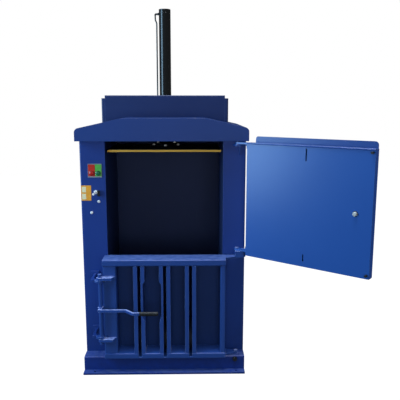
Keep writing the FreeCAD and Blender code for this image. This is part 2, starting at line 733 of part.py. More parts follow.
def panel_screws():
    """Two button-head screws on the left column's face."""
    return Part.makeCompound([rod(9, (x, FRONT - 4, z), (x, FRONT, z))
                              for x, z in ((LEFT + 108, KEEPER_Z - 59), (LEFT + 62, KEEPER_Z - 128.5))])


def left_column():
    """Left casing with the holes of the push buttons."""
    return column(LEFT, -APERTURE).cut(cutout(RED_X)).cut(cutout(GREEN_X))


# ---- Feed door, drawn closed --------------------------------------------------------------
INSIDE = DOOR_INNER - DOOR_SHEET
VENT = 3.5               # half width of the vertical slots in the inner panel
VENT_X = DOOR_RIGHT - 381.0


def door_skin():
    """Outer tray of the door with the tall lip that covers the hood's seam."""
    tray = box(DOOR_LEFT, DOOR_RIGHT, DOOR_OUTER, INSIDE, DOOR_BOTTOM, DOOR_TOP)
    tray = tray.makeFillet(4.5, [e for e in tray.Edges if e.BoundBox.YMax < DOOR_OUTER + 1
                                 and e.BoundBox.XLength + e.BoundBox.ZLength > 1
                                 and e.BoundBox.ZMax < DOOR_TOP - 1])
    hollow = box(DOOR_LEFT + DOOR_SHEET, DOOR_RIGHT - DOOR_SHEET, DOOR_OUTER + DOOR_SHEET,
                 INSIDE + 1, DOOR_BOTTOM + DOOR_SHEET, DOOR_TOP - DOOR_SHEET)
    lip = prism([(DOOR_LEFT + 2, DOOR_TOP - 6), (DOOR_RIGHT - 32, DOOR_TOP - 6),
                 (DOOR_RIGHT - 36, LIP_TOP, 14), (DOOR_LEFT + 2, LIP_TOP, 20)],
                "xz", DOOR_OUTER, DOOR_OUTER + DOOR_SHEET)
    hole = rod(SPINDLE_R + FIT, (SPINDLE_X, DOOR_OUTER - 1, SPINDLE_Z),
               (SPINDLE_X, DOOR_OUTER + 9, SPINDLE_Z))
    return joined([tray.cut(hollow), lip]).cut(hole)


def door_panel():
    """Inner panel with a slot on the centre line at head and foot."""
    panel = prism([(DOOR_LEFT, DOOR_BOTTOM + 5), (DOOR_LEFT + 5, DOOR_BOTTOM),
                   (DOOR_RIGHT, DOOR_BOTTOM), (DOOR_RIGHT, DOOR_TOP), (DOOR_LEFT + 5, DOOR_TOP),
                   (DOOR_LEFT, DOOR_TOP - 5)], "xz", INSIDE, DOOR_INNER)
    for low, high in ((DOOR_TOP - 83, DOOR_TOP - 17), (DOOR_BOTTOM + 31, DOOR_BOTTOM + 72)):
        panel = panel.cut(box(VENT_X - VENT, VENT_X + VENT, INSIDE - 1, DOOR_INNER + 1, low, high))
    return panel.cut(rod(SPINDLE_R + FIT, (SPINDLE_X, INSIDE - 1, SPINDLE_Z),
                         (SPINDLE_X, DOOR_INNER + 1, SPINDLE_Z)))


def door_stiffeners():
    """Two hat channels inside the door."""
    front = DOOR_OUTER + DOOR_SHEET
    ribs = []
    for x in (VENT_X - 180, VENT_X + 180):
        path = [(x + 25, INSIDE), (x + 25, front), (x - 25, front), (x - 25, INSIDE)]
        ribs.append(prism(folded(path[::-1], DOOR_SHEET, 0), "xy",
                          DOOR_BOTTOM + DOOR_SHEET, DOOR_TOP - DOOR_SHEET))
    return Part.makeCompound(ribs)


def door_arm(low):
    """Hinge arm from a plate on the door's edge to its eye round the axis."""
    high = low + ARM_THICK
    corners = [(DOOR_RIGHT, HY - ARM_HALF), (HX + ARM_HALF, HY - ARM_HALF, ARM_HALF - 0.01),
               (HX + ARM_HALF, HY + ARM_HALF, ARM_HALF - 0.01), (DOOR_RIGHT, HY + ARM_HALF)]
    arm = prism(corners, "xy", low, high)
    span = (low, high + 24) if low == LOW_ARM else (low - 24, high)
    plate = box(DOOR_RIGHT, DOOR_RIGHT + 5, HY - ARM_HALF - 6, HY + ARM_HALF, *span)
    return joined([arm, plate]).cut(rod(PIN_R + FIT, (HX, HY, low - 1), (HX, HY, high + 1)))


def door_bumpers():
    """Rubber buffers near the free edge that meet the column when the door is shut."""
    stops = []
    x = DOOR_LEFT + 14
    for z in (DOOR_BOTTOM + 20, DOOR_TOP - 18):
        stops.append(rod(7, (x, DOOR_INNER, z), (x, FRONT - 1, z)))
    return Part.makeCompound(stops)


def spindle_nut():
    """Pale nut that holds the latch spindle on the inner face."""
    nut = hexagon(20, (SPINDLE_X, SPINDLE_Z), "xz", DOOR_INNER + 0.4, DOOR_INNER + 11)
    return nut.cut(rod(SPINDLE_R, (SPINDLE_X, DOOR_INNER, SPINDLE_Z),
                       (SPINDLE_X, DOOR_INNER + 12, SPINDLE_Z)))


# ---- Door latch, drawn on the closed door with its tongue up --------------------------------
TONGUE = (DOOR_OUTER - 14.0, DOOR_OUTER - 8.0)
SLOT_REACH = math.hypot(KEEPER_X - SPINDLE_X, KEEPER_Z - SPINDLE_Z)
KEEPER_ANGLE = math.degrees(math.atan2(KEEPER_Z - SPINDLE_Z, KEEPER_X - SPINDLE_X))
SLOT_PLAY = 0.8


def latch_spindle():
    """Spindle through the door with its hub outside."""
    stem = rod(SPINDLE_R, (SPINDLE_X, TONGUE[0], SPINDLE_Z), (SPINDLE_X, DOOR_INNER + 14, SPINDLE_Z))
    hub = hexagon(38, (SPINDLE_X, SPINDLE_Z), "xz", DOOR_OUTER - 8, DOOR_OUTER - 0.4)
    return joined([stem, hub])


def latch_tongue():
    """Tongue with a curved open-sided slot, drawn on the keeper and turned back up."""
    low, high = TONGUE
    arm = prism([(SPINDLE_X - 22, SPINDLE_Z - 22, 21), (SPINDLE_X + 22, SPINDLE_Z - 22, 21),
                 (SPINDLE_X + 19, SPINDLE_Z + SLOT_REACH + 20, 10),
                 (SPINDLE_X - 19, SPINDLE_Z + SLOT_REACH + 20, 10)], "xz", low, high)
    half = KEEPER_R + SLOT_PLAY
    track = ring(SLOT_REACH + half, SLOT_REACH - half, (SPINDLE_X, low - 1, SPINDLE_Z),
                 (SPINDLE_X, high + 1, SPINDLE_Z))
    window = box(SPINDLE_X - 40, SPINDLE_X, low - 1, high + 1, SPINDLE_Z, SPINDLE_Z + SLOT_REACH + 30)
    arc = track.common(window)
    end = rod(half, (SPINDLE_X, low - 1, SPINDLE_Z + SLOT_REACH),
              (SPINDLE_X, high + 1, SPINDLE_Z + SLOT_REACH))
    tongue = arm.cut(arc).cut(end)
    tongue = tongue.cut(rod(SPINDLE_R, (SPINDLE_X, low - 1, SPINDLE_Z),
                            (SPINDLE_X, high + 1, SPINDLE_Z)))
    back = LATCH_TURN - (KEEPER_ANGLE - 90)
    tongue.rotate(V(SPINDLE_X, 0, SPINDLE_Z), V(0, 1, 0), back)
    return tongue


def latch_lever():
    """Flat lever, cranked clear of the door, hanging down when the latch is open."""
    y = TONGUE[0]
    path = [(y - 6, SPINDLE_Z + 20), (y - 6, SPINDLE_Z - 60), (y - 26, SPINDLE_Z - 90),
            (y - 26, SPINDLE_Z - 165)]
    return prism(folded(path, 6, 6), "yz", SPINDLE_X - 13, SPINDLE_X + 13)


def latch_grip():
    """Round black grip standing off the end of the latch lever."""
    y = TONGUE[0] - 26
    z = SPINDLE_Z - 148
    return rod(14, (SPINDLE_X, y - 62, z), (SPINDLE_X, y, z))


# ---- Bale gate ----------------------------------------------------------------------------
PANEL_FRONT = GATE_BACK - GATE_SHEET


def rail(low, high):
    """Channel rail as deep as the gate, closed at both ends."""
    path = [(PANEL_FRONT, high), (GATE_FRONT, high), (GATE_FRONT, low), (PANEL_FRONT, low)]
    sheet = prism(folded(path, GATE_SHEET, 3), "yz", GATE_LEFT, GATE_RIGHT)
    ends = [box(x, x + GATE_SHEET, GATE_FRONT + GATE_SHEET, PANEL_FRONT,
                low + GATE_SHEET, high - GATE_SHEET)
            for x in (GATE_LEFT, GATE_RIGHT - GATE_SHEET)]
    return joined([sheet] + ends)


def bottom_rail():
    """Lower rail, its face notched where the strap slots run down into it."""
    whole = rail(GATE_BOTTOM, LOW_RAIL)
    for x in STRAPS:
        whole = whole.cut(box(x - SLOT_HALF, x + SLOT_HALF, GATE_FRONT - 1, GATE_BACK,
                              SLOT_FOOT, LOW_RAIL + 1))
        walls = [box(x - SLOT_HALF - GATE_SHEET, x - SLOT_HALF, GATE_FRONT + GATE_SHEET, PANEL_FRONT,
                     SLOT_FOOT, LOW_RAIL - GATE_SHEET),
                 box(x + SLOT_HALF, x + SLOT_HALF + GATE_SHEET, GATE_FRONT + GATE_SHEET, PANEL_FRONT,
                     SLOT_FOOT, LOW_RAIL - GATE_SHEET),
                 box(x - SLOT_HALF - GATE_SHEET, x + SLOT_HALF + GATE_SHEET,
                     GATE_FRONT + GATE_SHEET, PANEL_FRONT, SLOT_FOOT - GATE_SHEET, SLOT_FOOT)]
        whole = joined([whole] + walls)
    return whole


CAM_WELL = (20.0, 18.0)  # corner of the post cut away for a cam, along x and along y


def gate_post():
    """Hollow left post, its corner notched beside each cam of the lock."""
    outline = [(GATE_LEFT, PANEL_FRONT), (GATE_LEFT, POST_FRONT, 7), (POST_RIGHT, POST_FRONT, 7),
               (POST_RIGHT, PANEL_FRONT)]
    solid = prism(outline, "xy", LOW_RAIL, TOP_RAIL)
    hollow = box(GATE_LEFT + GATE_SHEET, POST_RIGHT - GATE_SHEET, POST_FRONT + GATE_SHEET,
                 PANEL_FRONT + 1, LOW_RAIL - 1, TOP_RAIL + 1)
    post = solid.cut(hollow)
    for low, high in CAM_Z:
        x1 = GATE_LEFT + CAM_WELL[0]
        y1 = POST_FRONT + CAM_WELL[1]
        notch = box(GATE_LEFT - 1, x1, POST_FRONT - 1, y1, low - 4, high + 4)
        liner = box(GATE_LEFT, x1 + 3, POST_FRONT, y1 + 3, low - 7, high + 7)
        post = joined([post, liner.common(solid)]).cut(notch)
    return post


def gate_bar():
    """Upright bar at the hinge side."""
    path = [(BAR_LEFT, PANEL_FRONT), (BAR_LEFT, BAR_FRONT), (GATE_RIGHT - 2, BAR_FRONT),
            (GATE_RIGHT - 2, PANEL_FRONT)]
    return prism(folded(path, GATE_SHEET, 3), "xy", LOW_RAIL, TOP_RAIL)


def rib(x0, notched):
    """Folded rib beside a strap slot; notched is -1, 0 or 1 for the side cut for the grip."""
    x1 = x0 + RIB_WIDE
    path = [(x0, PANEL_FRONT), (x0, RIB_FRONT), (x1, RIB_FRONT), (x1, PANEL_FRONT)]
    shape = prism(folded(path, 3, 0), "xy", LOW_RAIL, TOP_RAIL)
    if notched:
        edge = x1 if notched > 0 else x0
        inner = edge - notched * NOTCH_DEEP
        low, high = NOTCH
        slope = 10.0
        corners = [(edge + notched, low - slope), (inner, low + slope), (inner, high - slope),
                   (edge + notched, high + slope)]
        cut = prism(corners, "xz", RIB_FRONT - 1, PANEL_FRONT + 1)
        liner = prism([(edge, low - slope - 3), (inner - notched * 3, low + slope - 3),
                       (inner - notched * 3, high - slope + 3), (edge, high + slope + 3)],
                      "xz", RIB_FRONT, PANEL_FRONT)
        liner = liner.common(box(x0, x1, RIB_FRONT, PANEL_FRONT, LOW_RAIL, TOP_RAIL))
        shape = joined([shape, liner]).cut(cut)
    return shape


def gate_ribs():
    """Six ribs, one each side of every strap slot."""
    shapes = []
    for x in STRAPS:
        left_notch = -1 if x == STRAPS[1] else 0
        right_notch = 1 if x == STRAPS[0] else 0
        shapes.append(rib(x - SLOT_HALF - RIB_WIDE, left_notch))
        shapes.append(rib(x + SLOT_HALF, right_notch))
    return Part.makeCompound(shapes)


def gate_panel():
    """Back sheet of the gate with its three strap slots."""
    sheet = box(GATE_LEFT, GATE_RIGHT, PANEL_FRONT, GATE_BACK, GATE_BOTTOM, GATE_TOP)
    for x in STRAPS:
        sheet = sheet.cut(box(x - SLOT_HALF, x + SLOT_HALF, PANEL_FRONT - 1, GATE_BACK + 1,
                              SLOT_FOOT, TOP_RAIL))
    return sheet


def gate_arm(low, high):
    """Hinge plate of the gate, tapering to a round eye on the axis."""
    eye = 18.0
    corners = [(GATE_RIGHT, GATE_BACK - 4), (GATE_RIGHT, GATE_FRONT + 45), (HX - 6, HY - eye, 4),
               (HX + eye, HY - eye, eye - 0.01), (HX + eye, HY + eye, eye - 0.01)]
    arm = prism(corners, "xy", low, high)
    return arm.cut(rod(PIN_R + FIT, (HX, HY, low - 1), (HX, HY, high + 1)))


def lock_lug(level):
    """Lug on the post's front that carries the lock shaft."""
    low = level - LUG_HALF
    high = level + LUG_HALF
    corners = [(SX - LUG_R, SY - LUG_R, LUG_R - 0.01), (POST_RIGHT - 24, SY - LUG_R),
               (POST_RIGHT - 3, POST_FRONT), (GATE_LEFT + 7, POST_FRONT), (SX - LUG_R, SY + LUG_R, LUG_R - 0.01)]
    lug = prism(corners, "xy", low, high)
    return lug.cut(rod(SHAFT_R + SHAFT_FIT, (SX, SY, low - 1), (SX, SY, high + 1)))


# ---- Gate lock, a shaft with two cams turned by one lever ------------------------------------
def lock_shaft():
    """Shaft through both lugs."""
    return rod(SHAFT_R, (SX, SY, LUG_Z[0] - 28), (SX, SY, LUG_Z[1] + 28))


def lock_cam(level):
    """Cam plate whose nose points back past the post towards its keeper."""
    low, high = level
    nose = CAM_NOSE
    corners = [(SX + 18, SY - 18, 17.9), (SX + 18, SY + 12), (SX - nose + 14, SY + nose - 10),
               (SX - nose + 4, SY + nose - 13), (SX - nose, SY + nose - 18), (SX - nose, SY - 2),
               (SX - 18, SY - 18, 17.9)]
    plate = prism(corners, "xy", low, high)
    return plate.cut(rod(SHAFT_R, (SX, SY, low - 1), (SX, SY, high + 1)))


def lock_lever():
    """Lever hub on the shaft and its bar, cranked forward to the grip."""
    hub = rod(18, (SX, SY, LEVER_Z - 14), (SX, SY, LEVER_Z + 14))
    hub = hub.cut(rod(SHAFT_R, (SX, SY, LEVER_Z - 15), (SX, SY, LEVER_Z + 15)))
    path = [(SX, SY - 30), (SX + 153, SY - 30), (SX + 198, GRIP_Y), (GRIP[0], GRIP_Y)]
    outline = folded(path, 12, 8)
    bar = prism([(u, v - 6, r) for u, v, r in outline], "xy", LEVER_Z - 8, LEVER_Z + 8)
    neck = box(SX - 12, SX + 12, SY - 32, SY - 14, LEVER_Z - 8, LEVER_Z + 8)
    whole = joined([hub, bar, neck, grip_core(GRIP[0] - 10)])
    whole = whole.cut(lock_grip())
    return whole.cut(rod(SHAFT_R, (SX, SY, LEVER_Z - 15), (SX, SY, LEVER_Z + 15)))


def grip_core(start):
    """Square end of the lever inside its grip."""
    return box(start, GRIP[1] - 8, GRIP_Y - GRIP_CORE, GRIP_Y + GRIP_CORE,
               LEVER_Z - GRIP_CORE, LEVER_Z + GRIP_CORE)


def lock_grip():
    """Rubber grip pushed over the lever's end."""
    grip = rod(14, (GRIP[0], GRIP_Y, LEVER_Z), (GRIP[1], GRIP_Y, LEVER_Z))
    return grip.cut(grip_core(GRIP[0] - 1))


# ---- Ram ----------------------------------------------------------------------------------
def platen():
    """Press platen, a thick plate with its rear corners clipped."""
    depth = PLATEN_DEPTH
    clip = 12.0
    return prism([(-PLATEN_HALF, -depth + EDGE), (PLATEN_HALF, -depth + EDGE),
                  (PLATEN_HALF, depth - clip), (PLATEN_HALF - clip, depth),
                  (clip - PLATEN_HALF, depth), (-PLATEN_HALF, depth - clip)],
                 "xy", PLATEN_BOTTOM, PLATEN_TOP)


def platen_edge():
    """Painted strip along the platen's front edge."""
    strip = box(-PLATEN_HALF, PLATEN_HALF, -PLATEN_DEPTH, -PLATEN_DEPTH + EDGE,
                PLATEN_BOTTOM, PLATEN_TOP)
    return strip.makeFillet(1.5, [e for e in strip.Edges if e.BoundBox.XLength > 100
                                  and e.BoundBox.YMax < -PLATEN_DEPTH + 1])


HUB_TOP = PLATEN_TOP + 8.0
ROD_FLANGE_TOP = HUB_TOP + 12.0


def gussets():
    """Tapered ribs that spread the load from the hub over the platen."""
    ribs = []
    for side in (-1, 1):
        for y in (-60.0, 0.0, 60.0):
            corners = [(side * 98, PLATEN_TOP), (side * 98, PLATEN_TOP + 9),
                       (side * 225, PLATEN_TOP + 2), (side * 225, PLATEN_TOP)]
            ribs.append(prism(corners, "xz", y - 5, y + 5))
    return Part.makeCompound(ribs)


def hub():
    """Eight-sided hub plate bolted to the platen."""
    reach = 97.0
    clip = reach * math.tan(math.radians(22.5))
    corners = [(reach, -clip), (reach, clip), (clip, reach), (-clip, reach), (-reach, clip),
               (-reach, -clip), (-clip, -reach), (clip, -reach)]
    return prism(corners, "xy", PLATEN_TOP, HUB_TOP)


def rod_flange():
    """Flange on the rod's end with two bolted ears at the back."""
    disc = rod(62, (0, 0, HUB_TOP), (0, 0, ROD_FLANGE_TOP))
    whole = joined([disc, box(-74, 74, 34, 66, HUB_TOP, ROD_FLANGE_TOP)])
    collar = rod(32, (0, 0, ROD_FLANGE_TOP), (0, 0, ROD_FLANGE_TOP + 14))
    return joined([whole, collar]).cut(rod(ROD_R, (0, 0, HUB_TOP), (0, 0, ROD_FLANGE_TOP + 20)))


def hub_bolts():
    """Four hub bolts and the pair at the back of the rod flange."""
    heads = []
    for x, y, base in ((-79, 0, HUB_TOP), (79, 0, HUB_TOP), (0, -79, HUB_TOP), (0, 79, HUB_TOP),
                       (-54, 50, ROD_FLANGE_TOP), (54, 50, ROD_FLANGE_TOP)):
        heads.append(hexagon(19, (x, y), "xy", base, base + 9))
    return Part.makeCompound(heads)


def piston_rod():
    """Chromed rod from the hub up into the tube."""
    return rod(ROD_R, (0, 0, HUB_TOP), (0, 0, PISTON_TOP - PISTON_DEEP))


def piston():
    """Piston on the rod's upper end, running in the tube's bore."""
    return rod(BORE_R - PISTON_FIT, (0, 0, PISTON_TOP - PISTON_DEEP), (0, 0, PISTON_TOP))


# ---- Every node of the part -----------------------------------------------------------------
def nodes():
    """Name and shape of every node, in the order they are built."""
    upper_pin, middle_pin, lower_pin = hinge_pins()
    parts = {
        "base_plate": base_plate(),
        "plinth_cover": plinth_with_hole(),
        "floor_beams": floor_beams(),
        "floor_plate": floor_plate(),
        "column_left": left_column(),
        "column_right": column(RIGHT, APERTURE),
        "chamber_walls": Part.makeCompound([chamber_wall(-APERTURE, -1),
                                            chamber_wall(APERTURE, 1)]),
        "chamber_back": chamber_back(),
        "rear_frame": rear_frame(),
        "lintel": lintel(),
        "deck": deck(),
        "hood": hood(),
        "tower_posts": Part.makeCompound([tower_side(-1), tower_side(1)]),
        "tower_front": tower_front(),
        "tower_rear": tower_rear(),
        "tower_lid": tower_lid(),
        "crosshead": Part.makeCompound([crosshead(), cylinder_flange(), valve_block()]),
        "cylinder_tube": Part.makeCompound([cylinder_tube(), cylinder_cap()]),
        "cylinder_gland": cylinder_gland(),
        "flange_bolts": flange_bolts(),
        "pressure_pipe": pipe(),
        "pipe_fitting": pipe_fitting(),
        "oil_tank": oil_tank(),
        "pump_motor": motor(),
        "cable_gland": cable_gland(),
        "hinge_brackets": Part.makeCompound([upper_bracket(), middle_bracket()]),
        "hinge_pins": Part.makeCompound([upper_pin, middle_pin, lower_pin]),
        "body_screws": Part.makeCompound([lock_bolt(), panel_screws()]),
        "gate_keepers": Part.makeCompound([gate_keeper(level) for level in CAM_Z]),
        "latch_keeper": latch_keeper(),
        "control_backing": backing(),
        "legend_red": legend(RED_X - 23, RED_X + 18.5),
        "legend_green": legend(RED_X + 19, GREEN_X + 20.5),
        "button_collars": Part.makeCompound([collar(RED_X), collar(GREEN_X)]),
        "switch_blocks": Part.makeCompound([contact_block(RED_X), contact_block(GREEN_X),
                                            catch_block()]),
        "amber_plate": amber_plate(),
        "red_button": button(RED_X),
        "green_button": button(GREEN_X),
        "door_skin": swung(door_skin()),
        "door_panel": swung(door_panel()),
        "door_frame": swung(Part.makeCompound([door_stiffeners(), door_arm(LOW_ARM),
                                               door_arm(DOOR_TOP - ARM_THICK)])),
        "door_bumpers": swung(door_bumpers()),
        "latch_spindle": swung(latch_spindle()),
        "latch_tongue": swung(joined([latch_tongue(), latch_lever()])),
        "latch_grip": swung(latch_grip()),
        "latch_nut": swung(spindle_nut()),
        "gate_rails": Part.makeCompound([rail(TOP_RAIL, GATE_TOP), bottom_rail()]),
        "gate_uprights": Part.makeCompound([gate_post(), gate_bar()]),
        "gate_ribs": gate_ribs(),
        "gate_panel": gate_panel(),
        "gate_arms": Part.makeCompound([gate_arm(GATE_TOP - 10, GATE_TOP),
                                        gate_arm(GATE_BOTTOM, GATE_BOTTOM + 10)]),
        "lock_lugs": Part.makeCompound([lock_lug(level) for level in LUG_Z]),
        "lock_shaft": Part.makeCompound([lock_shaft()] + [lock_cam(level) for level in CAM_Z]),
        "lock_lever": lock_lever(),
        "lock_grip": lock_grip(),
        "platen": platen(),
        "platen_edge": platen_edge(),
        "ram_hub": Part.makeCompound([hub(), gussets(), rod_flange()]),
        "hub_bolts": hub_bolts(),
        "ram_rod": Part.makeCompound([piston_rod(), piston()]),
    }
    return parts


os.makedirs("parts", exist_ok=True)
for name, shape in nodes().items():
    shape.exportStep(os.path.join("parts", name + ".step"))
    print(name, shape.isValid(), len(shape.Solids), round(shape.Volume))
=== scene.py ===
# %% [markdown]
# # A recycling baler, dressed for its picture
# The real machine is a welded steel press: folded sheet columns, a hood over the head, a feed door
# that hangs open on the right and a slotted gate below it. The solids are already in the frame, in
# metres, so this script only gives them finishes and the small things that a welder, a painter and
# an electrician leave behind.

# %% Load the frame
import math

import bmesh
import bpy
from mathutils import Matrix, Vector


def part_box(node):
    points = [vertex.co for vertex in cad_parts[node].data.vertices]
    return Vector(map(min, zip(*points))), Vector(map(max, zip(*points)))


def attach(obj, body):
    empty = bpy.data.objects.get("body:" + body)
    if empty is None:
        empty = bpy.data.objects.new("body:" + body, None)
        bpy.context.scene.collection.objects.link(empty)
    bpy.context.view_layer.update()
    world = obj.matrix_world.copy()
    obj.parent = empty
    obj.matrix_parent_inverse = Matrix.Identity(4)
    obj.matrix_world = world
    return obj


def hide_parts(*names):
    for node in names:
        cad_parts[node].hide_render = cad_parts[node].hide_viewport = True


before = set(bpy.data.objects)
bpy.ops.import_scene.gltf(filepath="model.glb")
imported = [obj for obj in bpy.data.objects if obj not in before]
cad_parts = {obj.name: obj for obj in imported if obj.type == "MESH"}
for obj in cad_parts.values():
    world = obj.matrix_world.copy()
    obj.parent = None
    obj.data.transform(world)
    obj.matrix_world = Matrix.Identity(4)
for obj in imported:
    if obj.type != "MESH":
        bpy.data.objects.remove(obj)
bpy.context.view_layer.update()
scene = bpy.context.scene

# %% [markdown]
# ## Camera
# The picture was taken from eye height, a little right of the middle, looking slightly down. Placing
# the camera from measured angles, not by eye, lets every edge of the render be compared with the
# picture. A lens length is the field of view in disguise: 540 pixels of focal length on a picture
# 400 pixels wide is 48.6 mm on a 36 mm sensor.

# %% Camera
IMAGE_WIDTH = 400
FOCAL_PIXELS = 540.15
EYE = Vector((0.1550, -3.5178, 1.6505))
YAW, PITCH, ROLL = 1.067, 10.005, 0.025     # degrees: to the right, down, about the line of sight

camera_data = bpy.data.cameras.new("eye")
camera_data.sensor_fit = "HORIZONTAL"
camera_data.sensor_width = 36.0
camera_data.lens = FOCAL_PIXELS / IMAGE_WIDTH * camera_data.sensor_width
camera = bpy.data.objects.new("eye", camera_data)
turn = (Matrix.Rotation(math.radians(-YAW), 4, "Z")
        @ Matrix.Rotation(math.radians(90 - PITCH), 4, "X")
        @ Matrix.Rotation(math.radians(ROLL), 4, "Z"))
camera.matrix_world = Matrix.Translation(EYE) @ turn
scene.collection.objects.link(camera)
scene.camera = camera
print("lens %.2f mm" % camera_data.lens)

# %% [markdown]
# ## Colour and node helpers
# Paint charts give colours as sRGB hex values, while a shader wants linear light, so one function
# turns the one into the other. A second small function adds a node, sets its values and links its
# inputs, which keeps each finish readable as a list of steps.

# %% Helpers
MM = 0.001


def linear(hex_colour):
    """Linear RGBA of an sRGB hex colour."""
    values = []
    for at in (1, 3, 5):
        part = int(hex_colour[at:at + 2], 16) / 255
        values.append(part / 12.92 if part <= 0.04045 else ((part + 0.055) / 1.055) ** 2.4)
    return (*values, 1.0)


def darkened(hex_colour, share):
    """Linear RGBA of a hex colour with a share of its light taken away."""
    return (*(part * (1 - share) for part in linear(hex_colour)[:3]), 1.0)


def add(tree, kind, inputs=None, **settings):
    """Adds a node; an input may be a value or an output socket to link from."""
    made = tree.nodes.new(kind)
    for name, value in settings.items():
        setattr(made, name, value)
    for name, value in (inputs or {}).items():
        if isinstance(value, bpy.types.NodeSocket):
            tree.links.new(value, made.inputs[name])
        else:
            made.inputs[name].default_value = value
    return made


def start_material(name):
    """Empty node material with its shader, ready for colour, bump and roughness."""
    material = bpy.data.materials.new(name)
    material.use_nodes = True
    tree = material.node_tree
    return material, tree, tree.nodes["Principled BSDF"]


print("blue of a fresh coat, linear:", [round(part, 3) for part in linear("#22357a")])

# %% [markdown]
# ## Where enamel wears, and where light is painted on it
# Paint on a working machine isn't one colour. It is thin on the folds, so an edge that is rubbed
# turns pale, and the same pale tone along every edge is also a painted highlight; scratches run up
# and down the faces that a load slides along; shelves that people lean on go chalky in patches, and
# the pale tone on every face that looks up is also painted light from above; and the coat is laid
# darker towards the floor. One could paint all this on an image, but then each mesh needs
# unwrapping. A mask from the surface's own direction, height and place does the same for any mesh,
# so each kind of mark is a short function that lays one tone over the coat below it.

# %% Where enamel wears, and where light is painted on it
PATCH_SIZE = 35 * MM        # a rubbed patch is about as wide as a thumb
SCRATCH_WIDTH = 7 * MM      # drawn coarser than a real scratch, so that it shows
SCRATCH_STRETCH = 0.06      # and some seventeen times as long as it is wide
# The coat is laid darker towards the floor, up to this height.
DARKENING_TOP = 0.45            # metres above the floor where grime ends
FLAT_ENOUGH = 0.985         # cosine of 10 degrees: up to there an edge isn't worn
FULLY_TURNED = 0.80         # cosine of 37 degrees: from there on it is worn most


def pale_edges_wear_and_sheen(tree, coat, facing, rounded, patches, strength, colour):
    """Pale tone where the softened normal leaves the true one, broken into patches.

    Partly thin paint on the folds, partly a painted highlight along each edge.
    """
    turn_in = add(tree, "ShaderNodeVectorMath", {0: rounded, 1: facing},
                  operation="DOT_PRODUCT").outputs["Value"]
    on_edge = add(tree, "ShaderNodeMapRange", {"Value": turn_in, "From Min": FLAT_ENOUGH,
                                               "From Max": FULLY_TURNED, "To Max": strength})
    broken = add(tree, "ShaderNodeMath", {0: on_edge.outputs["Result"], 1: patches},
                 operation="MULTIPLY")
    return add(tree, "ShaderNodeMixRGB", {"Fac": broken.outputs["Value"], "Color1": coat,
                                          "Color2": linear(colour)}).outputs["Color"]


def upright_scratches(tree, coat, place, strength, colour):
    """Streaks drawn out along Z, of which only the strongest show."""
    stretched = add(tree, "ShaderNodeMapping", {"Vector": place, "Scale": (1.0, 1.0, SCRATCH_STRETCH)})
    streaks = add(tree, "ShaderNodeTexNoise", {"Vector": stretched.outputs["Vector"],
                                               "Scale": 1 / SCRATCH_WIDTH, "Detail": 6.0,
                                               "Roughness": 0.7})
    marks = add(tree, "ShaderNodeMapRange", {"Value": streaks.outputs["Fac"], "From Min": 0.60,
                                             "From Max": 0.74, "To Max": strength})
    return add(tree, "ShaderNodeMixRGB", {"Fac": marks.outputs["Result"], "Color1": coat,
                                          "Color2": linear(colour)}).outputs["Color"]


def chalky_shelves_and_top_sheen(tree, coat, height, facing, patches, strength, colour, lowest):
    """Pale patches on faces that look up and lie higher than the lowest shelf that is touched.

    Partly chalky rubbed paint, partly painted light from above.
    """
    upward = add(tree, "ShaderNodeSeparateXYZ", {"Vector": facing}).outputs["Z"]
    shelf = add(tree, "ShaderNodeMapRange", {"Value": upward, "From Min": 0.7, "From Max": 0.95,
                                             "To Max": strength})
    spots = add(tree, "ShaderNodeMapRange", {"Value": patches, "From Min": 0.25, "From Max": 0.70})
    reached = add(tree, "ShaderNodeMapRange", {"Value": height, "From Min": lowest,
                                               "From Max": lowest + 0.1})
    worn = add(tree, "ShaderNodeMath", {0: shelf.outputs["Result"], 1: spots.outputs["Result"]},
               operation="MULTIPLY")
    worn = add(tree, "ShaderNodeMath", {0: worn.outputs["Value"], 1: reached.outputs["Result"]},
               operation="MULTIPLY")
    return add(tree, "ShaderNodeMixRGB", {"Fac": worn.outputs["Value"], "Color1": coat,
                                          "Color2": linear(colour)}).outputs["Color"]


def darker_foot(tree, coat, height, patches, strength):
    """Darker tone laid over the coat towards the floor."""
    low = add(tree, "ShaderNodeMapRange", {"Value": height, "From Min": DARKENING_TOP, "From Max": 0.0,
                                           "To Max": strength})
    darkening = add(tree, "ShaderNodeMath", {0: low.outputs["Result"], 1: patches}, operation="MULTIPLY")
    return add(tree, "ShaderNodeMixRGB", {"Fac": darkening.outputs["Value"], "Color1": coat,
                                          "Color2": linear("#10162c")}).outputs["Color"]


def painted_band(tree, coat, height, band, bare):
    """Coat between two heights and bare material above and below it."""
    over = add(tree, "ShaderNodeMath", {0: height, 1: band[0]}, operation="GREATER_THAN")
    under = add(tree, "ShaderNodeMath", {0: height, 1: band[1]}, operation="LESS_THAN")
    inside = add(tree, "ShaderNodeMath", {0: over.outputs["Value"], 1: under.outputs["Value"]},
                 operation="MULTIPLY")
    return add(tree, "ShaderNodeMixRGB", {"Fac": inside.outputs["Value"], "Color1": linear(bare),
                                          "Color2": coat}).outputs["Color"]


print("patches %.0f mm and scratches %.0f mm wide" % (PATCH_SIZE / MM, SCRATCH_WIDTH / MM))

# %% [markdown]
# ## Blue enamel
# The machine is sprayed with a glossy alkyd enamel over rough welded sheet. Close up, such paint has
# orange peel, a fine waviness a few millimetres across, and its colour drifts a little where the coat
# is thicker. A Bevel node rounds every sheet edge by a millimetre or two, so that it catches the
# light as a painted fold does, without touching the mesh. Enamel is a resin, with an index of
# refraction of about 1.5. The parts' base tones differ: the door's brighter tone is painted light
# where it faces the lamp, the darker chamber walls and recessed gate panels are painted shade, and
# the tower is a duller navy. Whatever hands grip is pale with rubbing, and its pale edges and tops
# are also painted glints.

# %% Blue enamel
DRIFT_SIZE = 380 * MM       # the coat's thickness changes slowly over a panel
PEEL_SIZE = 5 * MM
PEEL_DEPTH = 0.12 * MM


